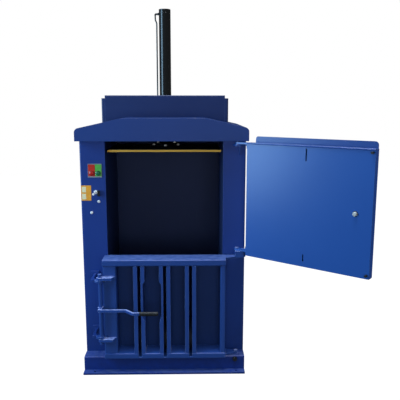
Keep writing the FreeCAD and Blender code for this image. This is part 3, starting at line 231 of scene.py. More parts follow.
def enamel(name, colour, thick, roughness=0.36, edge_wear_and_sheen=0.5, edge="#6f8ccc", edge_mm=2.0,
           scuffs=0.0, scuff_colour="#6a7690", foot_darkening=0.0, shelf_rub_and_sheen=0.0,
           top_sheen_and_rub_colour="#8ea6dd", rub_and_sheen_from=-0.1, band=None):
    """Sprayed enamel in two tones with orange peel and softened edges, marked as its options say.

    The pale edges and shelves are partly rubbed paint, partly painted light.
    """
    material, tree, shader = start_material(name)
    place = add(tree, "ShaderNodeTexCoord").outputs["Object"]
    height = add(tree, "ShaderNodeSeparateXYZ", {"Vector": place}).outputs["Z"]
    facing = add(tree, "ShaderNodeNewGeometry").outputs["Normal"]
    rounded = add(tree, "ShaderNodeBevel", {"Radius": edge_mm * MM}, samples=4).outputs["Normal"]
    drift = add(tree, "ShaderNodeTexNoise", {"Vector": place, "Scale": 1 / DRIFT_SIZE, "Detail": 3.0})
    patches = add(tree, "ShaderNodeTexNoise", {"Vector": place, "Scale": 1 / PATCH_SIZE,
                                               "Detail": 4.0}).outputs["Fac"]
    coat = add(tree, "ShaderNodeMixRGB", {"Fac": drift.outputs["Fac"], "Color1": linear(colour),
                                          "Color2": linear(thick)}).outputs["Color"]
    # Pale edges: partly thin paint on the folds, partly a painted highlight along each edge.
    coat = pale_edges_wear_and_sheen(tree, coat, facing, rounded, patches, edge_wear_and_sheen, edge)
    if scuffs:
        coat = upright_scratches(tree, coat, place, scuffs, scuff_colour)
    # Pale up-facing faces: partly chalky paint, partly painted light from above.
    if shelf_rub_and_sheen:
        coat = chalky_shelves_and_top_sheen(tree, coat, height, facing, patches, shelf_rub_and_sheen, top_sheen_and_rub_colour, rub_and_sheen_from)
    # The coat is laid darker towards the floor.
    if foot_darkening:
        coat = darker_foot(tree, coat, height, patches, foot_darkening)
    if band:
        coat = painted_band(tree, coat, height, band, edge)

    peel = add(tree, "ShaderNodeTexNoise", {"Vector": place, "Scale": 1 / PEEL_SIZE, "Detail": 1.0})
    bump = add(tree, "ShaderNodeBump", {"Height": peel.outputs["Fac"], "Strength": 0.10,
                                        "Distance": PEEL_DEPTH, "Normal": rounded})
    tree.links.new(coat, shader.inputs["Base Color"])
    tree.links.new(bump.outputs["Normal"], shader.inputs["Normal"])
    shader.inputs["Roughness"].default_value = roughness
    shader.inputs["IOR"].default_value = 1.5
    return material


# Pale edge and shelf colours below: partly rubbed paint, partly painted highlight and top light.
hood_enamel = enamel("enamel_hood", "#1f3b76", "#1b346a")
column_enamel = enamel("enamel_column", "#1c3a80", "#183373", foot_darkening=0.5)
tower_enamel = enamel("enamel_tower", "#162a58", "#13254e", roughness=0.42, edge_wear_and_sheen=0.9)
plinth_enamel = enamel("enamel_plinth", "#17378a", "#142f78", foot_darkening=0.6, shelf_rub_and_sheen=0.3)
# Chamber walls: a darker, duller base tone, painted shade for the dim inside of the chamber.
chamber_shaded_enamel = enamel("enamel_chamber_shaded", "#1c2c56", "#18264a", roughness=0.5, scuffs=0.35,
                        scuff_colour="#414a66")
gate_enamel = enamel("enamel_gate", "#24468a", "#203e7c", edge_wear_and_sheen=1.0, edge="#a9bbec", scuffs=0.10,
                     shelf_rub_and_sheen=0.42, rub_and_sheen_from=0.4)
# Recessed gate panels: a darker base tone, painted shade between the ribs.
gate_panel_shaded_enamel = enamel("enamel_gate_panel_shaded", "#1d3870", "#193062", roughness=0.42, scuffs=0.12)
# Door: a brighter base tone, painted light where the door faces the lamp.
door_lit_enamel = enamel("enamel_door_lit", "#2455a0", "#204e98", roughness=0.32, edge_wear_and_sheen=0.3, edge="#7d9bdc")
tray_enamel = enamel("enamel_door_tray", "#1f4488", "#1b3d7e", edge_wear_and_sheen=0.6, edge="#8fa9e2",
                     shelf_rub_and_sheen=0.45)
# Gripped parts, beads and the door's rolled edge: pale edges, tops and scratches, partly rubbed paint,
# partly painted glints.
handled_glinting_enamel = enamel("enamel_handled_glinting", "#26498f", "#213f80", roughness=0.25, edge_wear_and_sheen=1.0,
                        edge="#c3d0f4", scuffs=0.3, scuff_colour="#aebde6", shelf_rub_and_sheen=0.8,
                        top_sheen_and_rub_colour="#b9c8f6")
print("blue enamels:", [coat.name for coat in bpy.data.materials if coat.name.startswith("enamel")])

# %% [markdown]
# ## Black and ochre enamel
# The cylinder is a honed tube under black gloss enamel, the smoothest coat on the machine. The
# platen's front edge has an ochre marking coat, so that the operator sees where the platen is. It is
# brushed on as a narrow band, dulled by what slides past it, with dark steel above and below.

# %% Black and ochre enamel
strip_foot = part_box("platen_edge")[0][2]
OCHRE_BAND = (strip_foot + 2.5 * MM, strip_foot + 14.2 * MM)

black_enamel = enamel("enamel_black", "#191a19", "#141514", roughness=0.22, edge_wear_and_sheen=0.1, edge="#4a4a48")
ochre_enamel = enamel("enamel_ochre", "#e0ae44", "#cf9d3a", roughness=0.5, edge_wear_and_sheen=0.2, edge="#26241f",
                      edge_mm=0.8, scuffs=0.25, scuff_colour="#6a5628", band=OCHRE_BAND)
print("ochre band %.1f mm high" % ((OCHRE_BAND[1] - OCHRE_BAND[0]) / MM))

# %% [markdown]
# ## Steel, zinc and chrome
# Rolled steel is a metal with a blue-grey mill skin, so it gets metallic 1 and long faint streaks
# along the rolling direction. Hard chrome on the ram is ground, so it is nearly a mirror with fine
# lines. The pressure pipe and the clamp bolt are phosphated, which is a dark, dull, crystalline
# coat. Passivated zinc and anodised aluminium carry a pale film over the metal. A bare mirror would
# show mostly the dim sky here, so their metallic value lies below 1 and lets the film's tone show.
# The screws and bolts take a near-white, nearly diffuse zinc whose pale tone is a painted glint.

# %% Steel, zinc and chrome
def steel(name, colour, roughness, streak_mm=(2.0, 2.0, 90.0), tone=0.25, bumpy=0.12, metal=1.0):
    """Worked metal with streaks of the given size along X, Y and Z; metal is below 1 under a film."""
    material, tree, shader = start_material(name)
    place = add(tree, "ShaderNodeTexCoord").outputs["Object"]
    stretch = add(tree, "ShaderNodeMapping", {"Vector": place,
                                              "Scale": tuple(1 / (mm * MM) for mm in streak_mm)})
    streaks = add(tree, "ShaderNodeTexNoise", {"Vector": stretch.outputs["Vector"], "Scale": 1.0,
                                               "Detail": 4.0}).outputs["Fac"]
    tint = add(tree, "ShaderNodeMixRGB", {"Fac": streaks, "Color1": linear(colour),
                                          "Color2": darkened(colour, tone)})
    rough = add(tree, "ShaderNodeMapRange", {"Value": streaks, "To Min": roughness - 0.08,
                                             "To Max": roughness + 0.1})
    rounded = add(tree, "ShaderNodeBevel", {"Radius": 0.8 * MM}, samples=4)
    bump = add(tree, "ShaderNodeBump", {"Height": streaks, "Strength": bumpy, "Distance": 0.1 * MM,
                                        "Normal": rounded.outputs["Normal"]})
    tree.links.new(tint.outputs["Color"], shader.inputs["Base Color"])
    tree.links.new(rough.outputs["Result"], shader.inputs["Roughness"])
    tree.links.new(bump.outputs["Normal"], shader.inputs["Normal"])
    shader.inputs["Metallic"].default_value = metal
    return material


mill_steel = steel("rolled_steel_oiled", "#3a3a3e", 0.5, (60.0, 60.0, 60.0), 0.35)
floor_steel = steel("rolled_steel_rubbed", "#8b8d92", 0.42, (4.0, 160.0, 4.0), 0.3)
zinc_plate = steel("zinc_plate", "#d6d7d0", 0.42, (6.0, 6.0, 6.0), 0.2, metal=0.55)
# Near-white, mostly diffuse zinc for screws, bolts and the keeper: its pale tone is a painted glint.
zinc_painted_glint = steel("zinc_painted_glint", "#f2f2ee", 0.32, (6.0, 6.0, 6.0), 0.1, metal=0.15)
hard_chrome = steel("hard_chrome", "#c9cacc", 0.12, (1.0, 1.0, 40.0), 0.05, 0.03)
phosphated = steel("phosphated_steel", "#6b6964", 0.40, (3.0, 3.0, 60.0), 0.3)
nut_plate = steel("passivated_nut", "#eef6ee", 0.40, (5.0, 5.0, 5.0), 0.1, metal=0.15)
grey_anodised = steel("anodised_strip", "#a9acaf", 0.45, (60.0, 2.0, 2.0), 0.15, metal=0.5)
print("materials so far:", len(bpy.data.materials))

# %% [markdown]
# ## Plastics and rubber
# Switch housings and the latch grip are moulded nylon with a fine spark-eroded grain; bumpers and the
# lever's grip are carbon-black rubber, rougher and slightly grey where hands polish it. The control
# plates and push buttons are gloss-moulded, so they keep a low roughness and only a very fine grain.

# %% Plastics and rubber
def moulded(name, colour, roughness, grain_mm=0.8, bumpy=0.15, ior=1.5, tone=0.2):
    """Moulded plastic or rubber with a fine even grain and a slight drift of tone."""
    material, tree, shader = start_material(name)
    place = add(tree, "ShaderNodeTexCoord").outputs["Object"]
    grain = add(tree, "ShaderNodeTexNoise", {"Vector": place, "Scale": 1 / (grain_mm * MM),
                                             "Detail": 2.0})
    drift = add(tree, "ShaderNodeTexNoise", {"Vector": place, "Scale": 1 / (30 * MM)})
    tint = add(tree, "ShaderNodeMixRGB", {"Fac": drift.outputs["Fac"], "Color1": linear(colour),
                                          "Color2": darkened(colour, tone)})
    rounded = add(tree, "ShaderNodeBevel", {"Radius": 0.6 * MM}, samples=4)
    bump = add(tree, "ShaderNodeBump", {"Height": grain.outputs["Fac"], "Strength": bumpy,
                                        "Distance": 0.1 * MM, "Normal": rounded.outputs["Normal"]})
    tree.links.new(tint.outputs["Color"], shader.inputs["Base Color"])
    tree.links.new(bump.outputs["Normal"], shader.inputs["Normal"])
    shader.inputs["Roughness"].default_value = roughness
    shader.inputs["IOR"].default_value = ior
    return material


black_nylon = moulded("black_nylon", "#17181a", 0.5)
black_rubber = moulded("black_rubber", "#1f1f1d", 0.45, 1.2, 0.3, 1.52)
red_plate = moulded("red_plate", "#c63022", 0.35)
green_plate = moulded("green_plate", "#58b04a", 0.35)
amber_plate = moulded("amber_plate", "#f2a436", 0.35)
red_button = moulded("red_button", "#b8241c", 0.22, ior=1.49)
green_button = moulded("green_button", "#1c6a44", 0.25, ior=1.49)
cream_field = moulded("cream_field", "#efe3b4", 0.4)
print("materials so far:", len(bpy.data.materials))

# %% [markdown]
# ## Dress the solids
# Every node of the frame gets its finish in its own material slot. The mesh and its place stay as
# they came. A list of nodes beside each finish shows at a glance what was painted together, and the
# last line tells whether a node was forgotten.

# %% Dress the solids
finish_of = {
    column_enamel: ["column_left", "column_right", "rear_frame", "deck", "gate_keepers"],
    # Hinges, lugs and lever in the pale handled coat: rubbed paint, and painted glints.
    handled_glinting_enamel: ["hinge_brackets", "hinge_pins", "lock_lugs", "lock_lever"],
    plinth_enamel: ["plinth_cover", "base_plate"],
    hood_enamel: ["hood"],
    tower_enamel: ["tower_posts", "tower_front", "tower_rear", "tower_lid"],
    chamber_shaded_enamel: ["chamber_walls", "chamber_back", "lintel"],
    gate_enamel: ["gate_rails", "gate_uprights", "gate_ribs", "gate_arms", "lock_shaft"],
    gate_panel_shaded_enamel: ["gate_panel"],
    door_lit_enamel: ["door_panel", "door_frame"],
    tray_enamel: ["door_skin"],
    black_enamel: ["cylinder_tube"],
    ochre_enamel: ["platen_edge"],
    mill_steel: ["floor_beams", "crosshead", "cylinder_gland", "oil_tank",
                 "pump_motor", "platen", "ram_hub"],
    floor_steel: ["floor_plate"],
    zinc_plate: ["flange_bolts", "latch_spindle", "latch_tongue"],
    # Screws, hub bolts and the keeper take the near-white zinc, a painted glint.
    zinc_painted_glint: ["hub_bolts", "body_screws", "latch_keeper"],
    hard_chrome: ["ram_rod", "button_collars"],
    phosphated: ["pressure_pipe", "pipe_fitting"],
    nut_plate: ["latch_nut"],
    grey_anodised: ["control_backing"],
    black_nylon: ["cable_gland", "switch_blocks", "latch_grip"],
    black_rubber: ["door_bumpers", "lock_grip"],
    red_plate: ["legend_red"],
    green_plate: ["legend_green"],
    amber_plate: ["amber_plate"],
    red_button: ["red_button"],
    green_button: ["green_button"],
}
dressed = set()
for material, names in finish_of.items():
    for name in names:
        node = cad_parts[name]
        node.data.materials.clear()
        node.data.materials.append(material)
        dressed.add(name)
print("dressed", len(dressed), "nodes; left over:", sorted(set(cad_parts) - dressed))

# %% [markdown]
# ## Meshes from rings
# Beads, knobs, screws and elbows have one thing in common: each is a row of rings that are skinned
# from one to the next. Blender's Screw modifier or a curve with a bevel could make them too, but
# rings of points written out by a formula keep every radius exact, and need no modifier to apply.
# Each piece is then shaded smooth up to a crease angle and rides on the body that carries it.

# %% Meshes from rings
TO_THE_FRONT = (0, -1, 0)
UPWARDS = (0, 0, 1)


def square_axes(along):
    """Two unit vectors square to a direction and to each other."""
    helper = Vector((0, 0, 1)) if abs(along.z) < 0.9 else Vector((1, 0, 0))
    side = along.cross(helper).normalized()
    return side, side.cross(along)


def ring_points(centre, side, up, radius, sides, offset=0.0):
    """Corners of a regular polygon about a centre; offset is a share of one of its sides."""
    angles = [2 * math.pi * (corner + offset) / sides for corner in range(sides)]
    return [centre + (side * math.cos(angle) + up * math.sin(angle)) * radius for angle in angles]


def finish_mesh(name, mesh, material, body, crease=None):
    """Object from a mesh in the making, smooth up to the crease angle, or flat where none is given."""
    bmesh.ops.recalc_face_normals(mesh, faces=mesh.faces)
    for face in mesh.faces:
        face.smooth = crease is not None
    data = bpy.data.meshes.new(name)
    mesh.to_mesh(data)
    mesh.free()
    if crease is not None:
        data.set_sharp_from_angle(angle=math.radians(crease))
    data.materials.append(material)
    piece = bpy.data.objects.new(name, data)
    scene.collection.objects.link(piece)
    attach(piece, body)
    return piece


def skin(name, rings, material, body, crease=180.0, closed=False, capped=False):
    """Piece skinned over rings of points; a ring of one point is a tip, and 180 creases nothing."""
    mesh = bmesh.new()
    rows = [[mesh.verts.new(point) for point in ring] for ring in rings]
    sides = max(len(row) for row in rows)
    following = rows[1:] + (rows[:1] if closed else [])
    for low, high in zip(rows, following):
        for here in range(sides):
            after = (here + 1) % sides
            corners = [low[here % len(low)], low[after % len(low)],
                       high[after % len(high)], high[here % len(high)]]
            mesh.faces.new(list(dict.fromkeys(corners)))
    if capped:
        mesh.faces.new(rows[0][::-1])
        mesh.faces.new(rows[-1])
    return finish_mesh(name, mesh, material, body, crease)


def middle(low, high):
    """Middle of a box."""
    return (Vector(low) + Vector(high)) / 2


print("a hexagon has", len(ring_points(Vector(), *square_axes(Vector(UPWARDS)), 1.0, 6)), "points")

# %% [markdown]
# ## Weld beads
# The press is welded, and a bead of stacked ripples fills each corner where plate meets plate. It is
# made as a round ridge whose radius swells every few millimetres along its run, which is what a
# welder's hand leaves. Beads are painted over, and all of them take the pale handled enamel, so
# their pale edges and tops are painted glints. A bump in the material would be cheaper, but it
# can't fill the corner or show in outline.

# %% Weld beads
RIPPLE = 4 * MM             # one dab of the torch
RINGS_TO_RIPPLE = 3
BEAD_SIDES = 8
RIB_BEAD = 2.8 * MM
BRACKET_BEAD = 3.0 * MM
STRAP_PITCH = 156 * MM      # the gate's slots; a rib stands on each side of each
RIB_ROUND = 6 * MM          # a bead starts behind the rounded front of its rib
RIPPLE_DEPTH = 0.12         # share of the radius that comes and goes with each dab
TIP_SHARE = 0.35            # radius of a bead's end, as a share of the full one
LUG_SEAM = (69 * MM, 5 * MM)                            # both ends, from the lug's right end
BLOCK_SEAM = (62 * MM, 2 * MM)                          # both ends, from the bracket's right end
BLOCK_HEIGHTS = {"head": 770 * MM, "foot": 735 * MM}    # over and under the middle bracket's block


def weld_bead(name, start, end, radius, body):
    """Rippled bead between two points."""
    start, end = Vector(start), Vector(end)
    run = end - start
    side, up = square_axes(run.normalized())
    steps = int(run.length / RIPPLE * RINGS_TO_RIPPLE + 0.01)       # the hundredth absorbs rounding
    rings = []
    for step in range(steps + 1):
        ripple = 1 - RIPPLE_DEPTH + RIPPLE_DEPTH * math.cos(2 * math.pi * step / RINGS_TO_RIPPLE)
        taper = min(1.0, TIP_SHARE + step / 3, TIP_SHARE + (steps - step) / 3)
        centre = start + run * (step / steps)
        rings.append(ring_points(centre, side, up, radius * ripple * taper, BEAD_SIDES))
    # Every bead takes the pale handled coat, whose pale tone is a painted glint.
    return skin(name, rings, handled_glinting_enamel, body, capped=True)


(_, rib_front, rib_foot), (rib_right, rib_back, rib_head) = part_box("gate_ribs")
rib_outer = rib_right - STRAP_PITCH     # outer face of a rib, from the middle of its slot
beads = []
for number in range(3):
    for side, hand in ((-1, "left"), (1, "right")):
        x = (number - 1) * STRAP_PITCH + side * rib_outer
        for end, z in (("foot", rib_foot), ("head", rib_head)):
            beads.append(weld_bead("weld_rib_%s_%d_%s" % (end, number, hand),
                                   (x, rib_front + RIB_ROUND, z), (x, rib_back, z),
                                   RIB_BEAD, "bale_gate"))

(_, _, lug_foot), (lug_right, lug_back, lug_head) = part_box("lock_lugs")
for tag, z in (("upper", lug_head), ("lower", lug_foot)):
    beads.append(weld_bead("weld_lug_" + tag, (lug_right - LUG_SEAM[0], lug_back, z),
                           (lug_right - LUG_SEAM[1], lug_back, z), BRACKET_BEAD, "bale_gate"))

bracket_right, bracket_back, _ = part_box("hinge_brackets")[1]
for end, z in BLOCK_HEIGHTS.items():
    beads.append(weld_bead("weld_block_" + end, (bracket_right - BLOCK_SEAM[0], bracket_back, z),
                           (bracket_right - BLOCK_SEAM[1], bracket_back, z), BRACKET_BEAD, "machine"))
print("beads:", len(beads))

# %% [markdown]
# ## Turned parts
# Knobs, buttons, dome screws and grips are round, so each is a profile spun about an axis: a list of
# (radius, distance) pairs in millimetres, read along the part. Hexagon heads come from the same
# profile with six sides, and a ring from a profile that comes back to its start. Where a turned
# piece stands in for a plain solid, it keeps to that solid's place and size.
#
# The push buttons come first. Each is a gloss cap with a domed face on a narrower stem, in a chromed
# ring that screws down around it. The dome is so shallow that a parabola does as well as a sphere.

# %% Turned parts, and the push buttons
CAP_RADII = (12, 10, 8, 6, 4, 2, 0)
DOME_RADIUS = 25
RING_PROFILE = [(13.1, 0), (15.2, 0), (15.2, 3.6), (14.6, 4.6), (13.6, 4.6), (13.1, 4.0), (13.1, 0)]


def turned(name, profile, foot, axis, material, body, sides=48, crease=35):
    """Profile of (radius, distance) pairs in millimetres spun about an axis that starts at foot.

    A profile that comes back to its first pair closes on itself, as a ring does."""
    along = Vector(axis).normalized()
    side, up = square_axes(along)
    closed = profile[0] == profile[-1]
    rings = []
    for radius, distance in (profile[:-1] if closed else profile):
        centre = Vector(foot) + along * distance * MM
        rings.append(ring_points(centre, side, up, radius * MM, sides, 0.5) if radius else [centre])
    return skin(name, rings, material, body, crease, closed)


for colour, material in (("red", red_button), ("green", green_button)):
    low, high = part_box(colour + "_button")
    centre = middle(low, high)
    long = (high[1] - low[1]) / MM
    profile = [(0, 0), (8, 0), (8, long - 4.7), (12.6, long - 4.7), (13, long - 4.3),
               (13, long - 3.4)]
    profile += [(radius, long - radius ** 2 / (2 * DOME_RADIUS)) for radius in CAP_RADII]
    cap = turned(colour + "_button_cap", profile, (centre.x, high[1], centre.z), TO_THE_FRONT,
                 material, colour + "_push_button")
    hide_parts(colour + "_button")

plate_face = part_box("button_collars")[1][1]
for colour in ("red", "green"):
    centre = middle(*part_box(colour + "_button"))
    turned(colour + "_button_ring", RING_PROFILE, (centre.x, plate_face, centre.z),
                        TO_THE_FRONT, hard_chrome, "machine")
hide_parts("button_collars")

# %% [markdown]
# ## The lock lever's grip
# The grip is a rubber sleeve pushed over the bar. Twelve rounded ribs run round it, so that a glove
# holds on a lever that is pulled hard. They come from a loop over one rib's outline, and both ends
# swell a little, as such sleeves do to keep the hand from sliding off.

# %% The lock lever's grip
RIBS = 12
RIB_PITCH = 7.4
FIRST_RIB = 8

low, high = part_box("lock_grip")
long = (high[0] - low[0]) / MM
grip_foot = (low[0], (low[1] + high[1]) / 2, (low[2] + high[2]) / 2)
profile = [(0, 0), (13.2, 0), (14, 0.8), (14, 5), (13, 6)]
for rib in range(RIBS):
    start = FIRST_RIB + rib * RIB_PITCH
    profile += [(12.2, start), (13.4, start + 1.2), (13.6, start + 3.0), (13.4, start + 4.8),
                (12.2, start + 6.0)]
profile += [(13.2, long - 13), (13.6, long - 9), (12.9, long - 5), (11, long - 2), (7.5, long - 0.5),
            (0, long)]
rubber_grip = turned("lock_grip_rubber", profile, grip_foot, (1, 0, 0), black_rubber, "gate_lock")
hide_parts("lock_grip")
print("grip %.0f mm long" % long)

# %% [markdown]
# ## Door furniture
# The door is modelled where it hangs, swung open, so its own two directions are worked out first:
# along the sheet, and out through its skin. The latch's grip is a waisted nylon knob, the spindle
# passes the inner panel through a thin nylon ring, and the panel's top edge is rolled over a wire, as
# sheet is where arms lean on it. All three lie along one of the door's two directions.

# %% Door furniture
DOOR_SWING = math.radians(141.4)
KNOB_LONG = 62.0
RING_SEAT = 5.7 * MM        # from the middle of the nut plate to the panel's face
PANEL_SET_BACK = 18 * MM    # inner panel's face, from the hinge line
ROLL_RADIUS = 4.5
ROLL_DROP = 3 * MM          # middle of the rolled edge, under the panel's top
ROLL_SPAN = (835.0, 77.0)   # its far and near end, from the hinge line

door_out = Vector((math.sin(DOOR_SWING), -math.cos(DOOR_SWING), 0))
door_along = Vector((math.cos(DOOR_SWING), math.sin(DOOR_SWING), 0))
knob = turned("latch_grip_knob", [(0, 0), (11, 0), (12, 1), (12.4, 6), (11.6, 14), (11.2, 26),
                                  (12, 38), (13.6, 48), (14, KNOB_LONG - 9), (13.4, KNOB_LONG - 4.5),
                                  (11, KNOB_LONG - 1.5), (6, KNOB_LONG - 0.2), (0, KNOB_LONG)],
              middle(*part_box("latch_grip")) - door_out * KNOB_LONG / 2 * MM, door_out, black_nylon,
              "door_latch")
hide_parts("latch_grip")

hinge = middle(*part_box("hinge_pins"))
panel_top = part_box("door_panel")[1][2]
roll_start = hinge - door_along * ROLL_SPAN[0] * MM - door_out * PANEL_SET_BACK
roll_start.z = panel_top - ROLL_DROP
roll_long = ROLL_SPAN[0] - ROLL_SPAN[1]
# The rolled edge is in the pale handled coat: a painted highlight along the door's top.
door_fold = turned("door_top_fold", [(0, 0), (ROLL_RADIUS - 0.5, 0), (ROLL_RADIUS, 0.5),
                                     (ROLL_RADIUS, roll_long - 0.5), (ROLL_RADIUS - 0.5, roll_long),
                                     (0, roll_long)],
                   roll_start, door_along, handled_glinting_enamel, "feed_door", sides=24)

spindle_ring = turned("spindle_ring", [(11.6, 0), (14.5, 0), (14.5, 1.6), (13.8, 2.4), (12.2, 2.4),
                                       (11.6, 1.8), (11.6, 0)],
                      middle(*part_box("latch_nut")) + door_out * RING_SEAT, -door_out, black_nylon,
                      "feed_door")
print("rolled edge %.0f mm long" % roll_long)

# %% [markdown]
# ## Elbow at the cylinder's port
# The steel pressure pipe enters the tube through a short bend with a hexagon nut at the port. Rings
# along two straight runs and a quarter circle give the bend; a curve object would do the same, but
# then its ends wouldn't lie exactly on the faces they meet.

# %% Elbow at the cylinder's port
ELBOW_RADIUS = 6.2 * MM
ELBOW_HALF = 8 * MM         # from the pipe's middle to the fitting's outer end
PORT_SEAT = 1 * MM          # the fitting's end is hollowed about this deep to fit the tube


def quarter_bend(name, start, corner, end, radius, material, body, sides=24, steps=10):
    """Round bar from start to end; its quarter circle begins as far from the corner as it ends."""
    along = (corner - start).normalized()
    down = (end - corner).normalized()
    bend = (end - corner).length
    side = along.cross(down)
    rings = [ring_points(start, side, along.cross(side), radius, sides)]
    for step in range(steps + 1):
        angle = math.pi / 2 * step / steps
        centre = corner + along * bend * (math.sin(angle) - 1) + down * bend * (1 - math.cos(angle))
        heading = along * math.cos(angle) + down * math.sin(angle)
        rings.append(ring_points(centre, side, heading.cross(side), radius, sides))
    return skin(name, rings, material, body, crease=35, capped=True)


low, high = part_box("pipe_fitting")
pipe_x = low[0] + ELBOW_HALF
port = Vector((high[0] - PORT_SEAT, 0, (low[2] + high[2]) / 2))
elbow = quarter_bend("port_elbow", port, Vector((pipe_x, 0, port.z)), Vector((pipe_x, 0, low[2])),
                     ELBOW_RADIUS, phosphated, "machine")
port_nut = turned("port_nut", [(0, 0), (7.8, 0), (7.8, 7), (7, 8), (0, 8)], port, (-1, 0, 0),
                  phosphated, "machine", sides=6, crease=20)
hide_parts("pipe_fitting")
print("port %.3f m above the floor" % port.z)

# %% [markdown]
# ## Screws and bolts
# Small fasteners catch the light and give a viewer the scale, so they get true heads: two dome
# screws beside the controls, a clamp bolt with its washer at the foot, and hexagon bolts around the
# ram's hub. A hexagon's corners lie its width across flats divided by the root of three from its
# middle. No threads are cut, since none shows once a bolt is home.

# %% Screws and bolts
DOME_PROFILE = [(9, 0), (9, 0.5), (8.6, 1.6), (7.6, 2.8), (6, 3.6), (4, 4), (3.2, 4), (3.2, 1.6),
                (0, 1.6)]
WASHER_PROFILE = [(0, 0), (14.6, 0), (15, 0.4), (15, 2.4), (14.6, 2.8), (0, 2.8)]
CLAMP_HEAD_PROFILE = [(0, 2), (13.9, 2), (13.9, 12.6), (12.6, 14), (7, 14), (6.4, 13.4), (0, 13.4)]
HUB_HEAD_PROFILE = [(0, 0), (9.4, 0), (9.4, 1.4), (9.2, 1.5), (9.2, 7.6), (8.2, 8.8), (0, 8.8)]
FLANGE_HEAD_PROFILE = [(0, 0), (9.4, 0), (9.4, 7.6), (8.2, 8.8), (0, 8.8)]
DOME_PLACES = {"high": (-401 * MM, 1069 * MM), "low": (-447 * MM, 999.5 * MM)}    # x and z
CLAMP_PLACE = (433 * MM, 78 * MM)
HUB_FLATS = 19 * MM
FLANGE_PLACES = {"left": (-54 * MM, 50 * MM), "right": (54 * MM, 50 * MM)}        # x and y
FLANGE_HEAD = 9 * MM        # seat of a flange bolt, under the top of the bolts

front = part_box("column_left")[0][1]
screws = [turned("dome_screw_" + tag, DOME_PROFILE, (x, front, z), TO_THE_FRONT, zinc_painted_glint, "machine")
          for tag, (x, z) in DOME_PLACES.items()]
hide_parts("body_screws")

clamp_foot = (CLAMP_PLACE[0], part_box("plinth_cover")[0][1], CLAMP_PLACE[1])
screws.append(turned("lock_bolt_washer", WASHER_PROFILE, clamp_foot, TO_THE_FRONT, phosphated,
                     "machine"))
screws.append(turned("lock_bolt_head", CLAMP_HEAD_PROFILE, clamp_foot, TO_THE_FRONT, phosphated,
                     "machine", sides=6, crease=20))

low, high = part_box("hub_bolts")
reach = high[1] - HUB_FLATS / math.sqrt(3)      # from the ram's axis to a bolt's middle
hub_heads = [turned("hub_bolt_%d" % number, HUB_HEAD_PROFILE, (x, y, low[2]), UPWARDS, zinc_painted_glint,
                    "ram", sides=6, crease=20)
             for number, (x, y) in enumerate(((-reach, 0), (reach, 0), (0, -reach), (0, reach)))]
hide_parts("hub_bolts")
flange_heads = [turned("flange_bolt_" + tag, FLANGE_HEAD_PROFILE, (x, y, high[2] - FLANGE_HEAD),
                       UPWARDS, zinc_painted_glint, "ram", sides=6, crease=20)
                for tag, (x, y) in FLANGE_PLACES.items()]
print("fasteners:", len(screws + hub_heads + flange_heads))

# %% [markdown]
# ## Bare plates
# The control plates are plain moulded sheets. The amber one has two pale raised fields, and the red
# and the green one have a raised rim. A flat outline with rounded corners, pushed out by a few
# tenths of a millimetre, gives an edge that catches the light, which a colour alone wouldn't.

# %% Bare plates
CORNER = 2.0                # everything in this cell is in millimetres
CORNER_STEPS = 5
FIELD_WIDE, FIELD_HIGH, FIELD_THICK = 24, 34, 0.3
FIELD_SIDE, FIELD_END = 5, 8            # the amber plate's margins
RIM_MARGIN, RIM_WIDE, RIM_THICK = 1, 1.8, 0.4


def pad(name, left, right, foot, top, face_y, thick, material, rim=0.0):
    """Rounded pad standing proud of a plate's face; with a rim width only its border is left."""
    mesh = bmesh.new()
    outline = []
    for x, z, quarter in ((right, top, 0), (left, top, 1), (left, foot, 2), (right, foot, 3)):
        centre_x = x - math.copysign(CORNER, x - (left + right) / 2)
        centre_z = z - math.copysign(CORNER, z - (foot + top) / 2)
        for step in range(CORNER_STEPS + 1):
            angle = math.pi / 2 * (quarter + step / CORNER_STEPS)
            outline.append(mesh.verts.new(((centre_x + CORNER * math.cos(angle)) * MM, face_y * MM,
                                           (centre_z + CORNER * math.sin(angle)) * MM)))
    face = mesh.faces.new(outline)
    if rim:
        bmesh.ops.inset_region(mesh, faces=[face], thickness=rim * MM, use_boundary=True,
                               use_even_offset=True)
        bmesh.ops.delete(mesh, geom=[face], context="FACES")
    grown = bmesh.ops.extrude_face_region(mesh, geom=list(mesh.faces))
    moved = [item for item in grown["geom"] if isinstance(item, bmesh.types.BMVert)]
    bmesh.ops.translate(mesh, vec=(0, -thick * MM, 0), verts=moved)
    return finish_mesh(name, mesh, material, "machine")


def box_in_mm(node):
    """Left, face, foot, right and top of a plate."""
    low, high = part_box(node)
    return low[0] / MM, low[1] / MM, low[2] / MM, high[0] / MM, high[2] / MM


left, face_y, foot, _, top = box_in_mm("amber_plate")
for tag, field_foot in (("high", top - FIELD_END - FIELD_HIGH), ("low", foot + FIELD_END)):
    pad("amber_field_" + tag, left + FIELD_SIDE, left + FIELD_SIDE + FIELD_WIDE,
                    field_foot, field_foot + FIELD_HIGH, face_y, FIELD_THICK, cream_field)
for colour, material in (("red", red_plate), ("green", green_plate)):
    left, face_y, foot, right, top = box_in_mm("legend_" + colour)
    pad("legend_%s_rim" % colour, left + RIM_MARGIN, right - RIM_MARGIN,
                    foot + RIM_MARGIN, top - RIM_MARGIN, face_y, RIM_THICK, material, rim=RIM_WIDE)

# %% [markdown]
# ## Lamps
# The picture has soft light from the front left, and shadows that are deep but not black. A tall
# narrow key lamp stands where the open door mirrors it, which gives the pale sheen down the door's
# hinge side, and a wide lamp overhead draws the shelves. The fills only lift the shadows: they are
# left out of reflections, since a lamp mirrored in every coat would veil its deep blue.

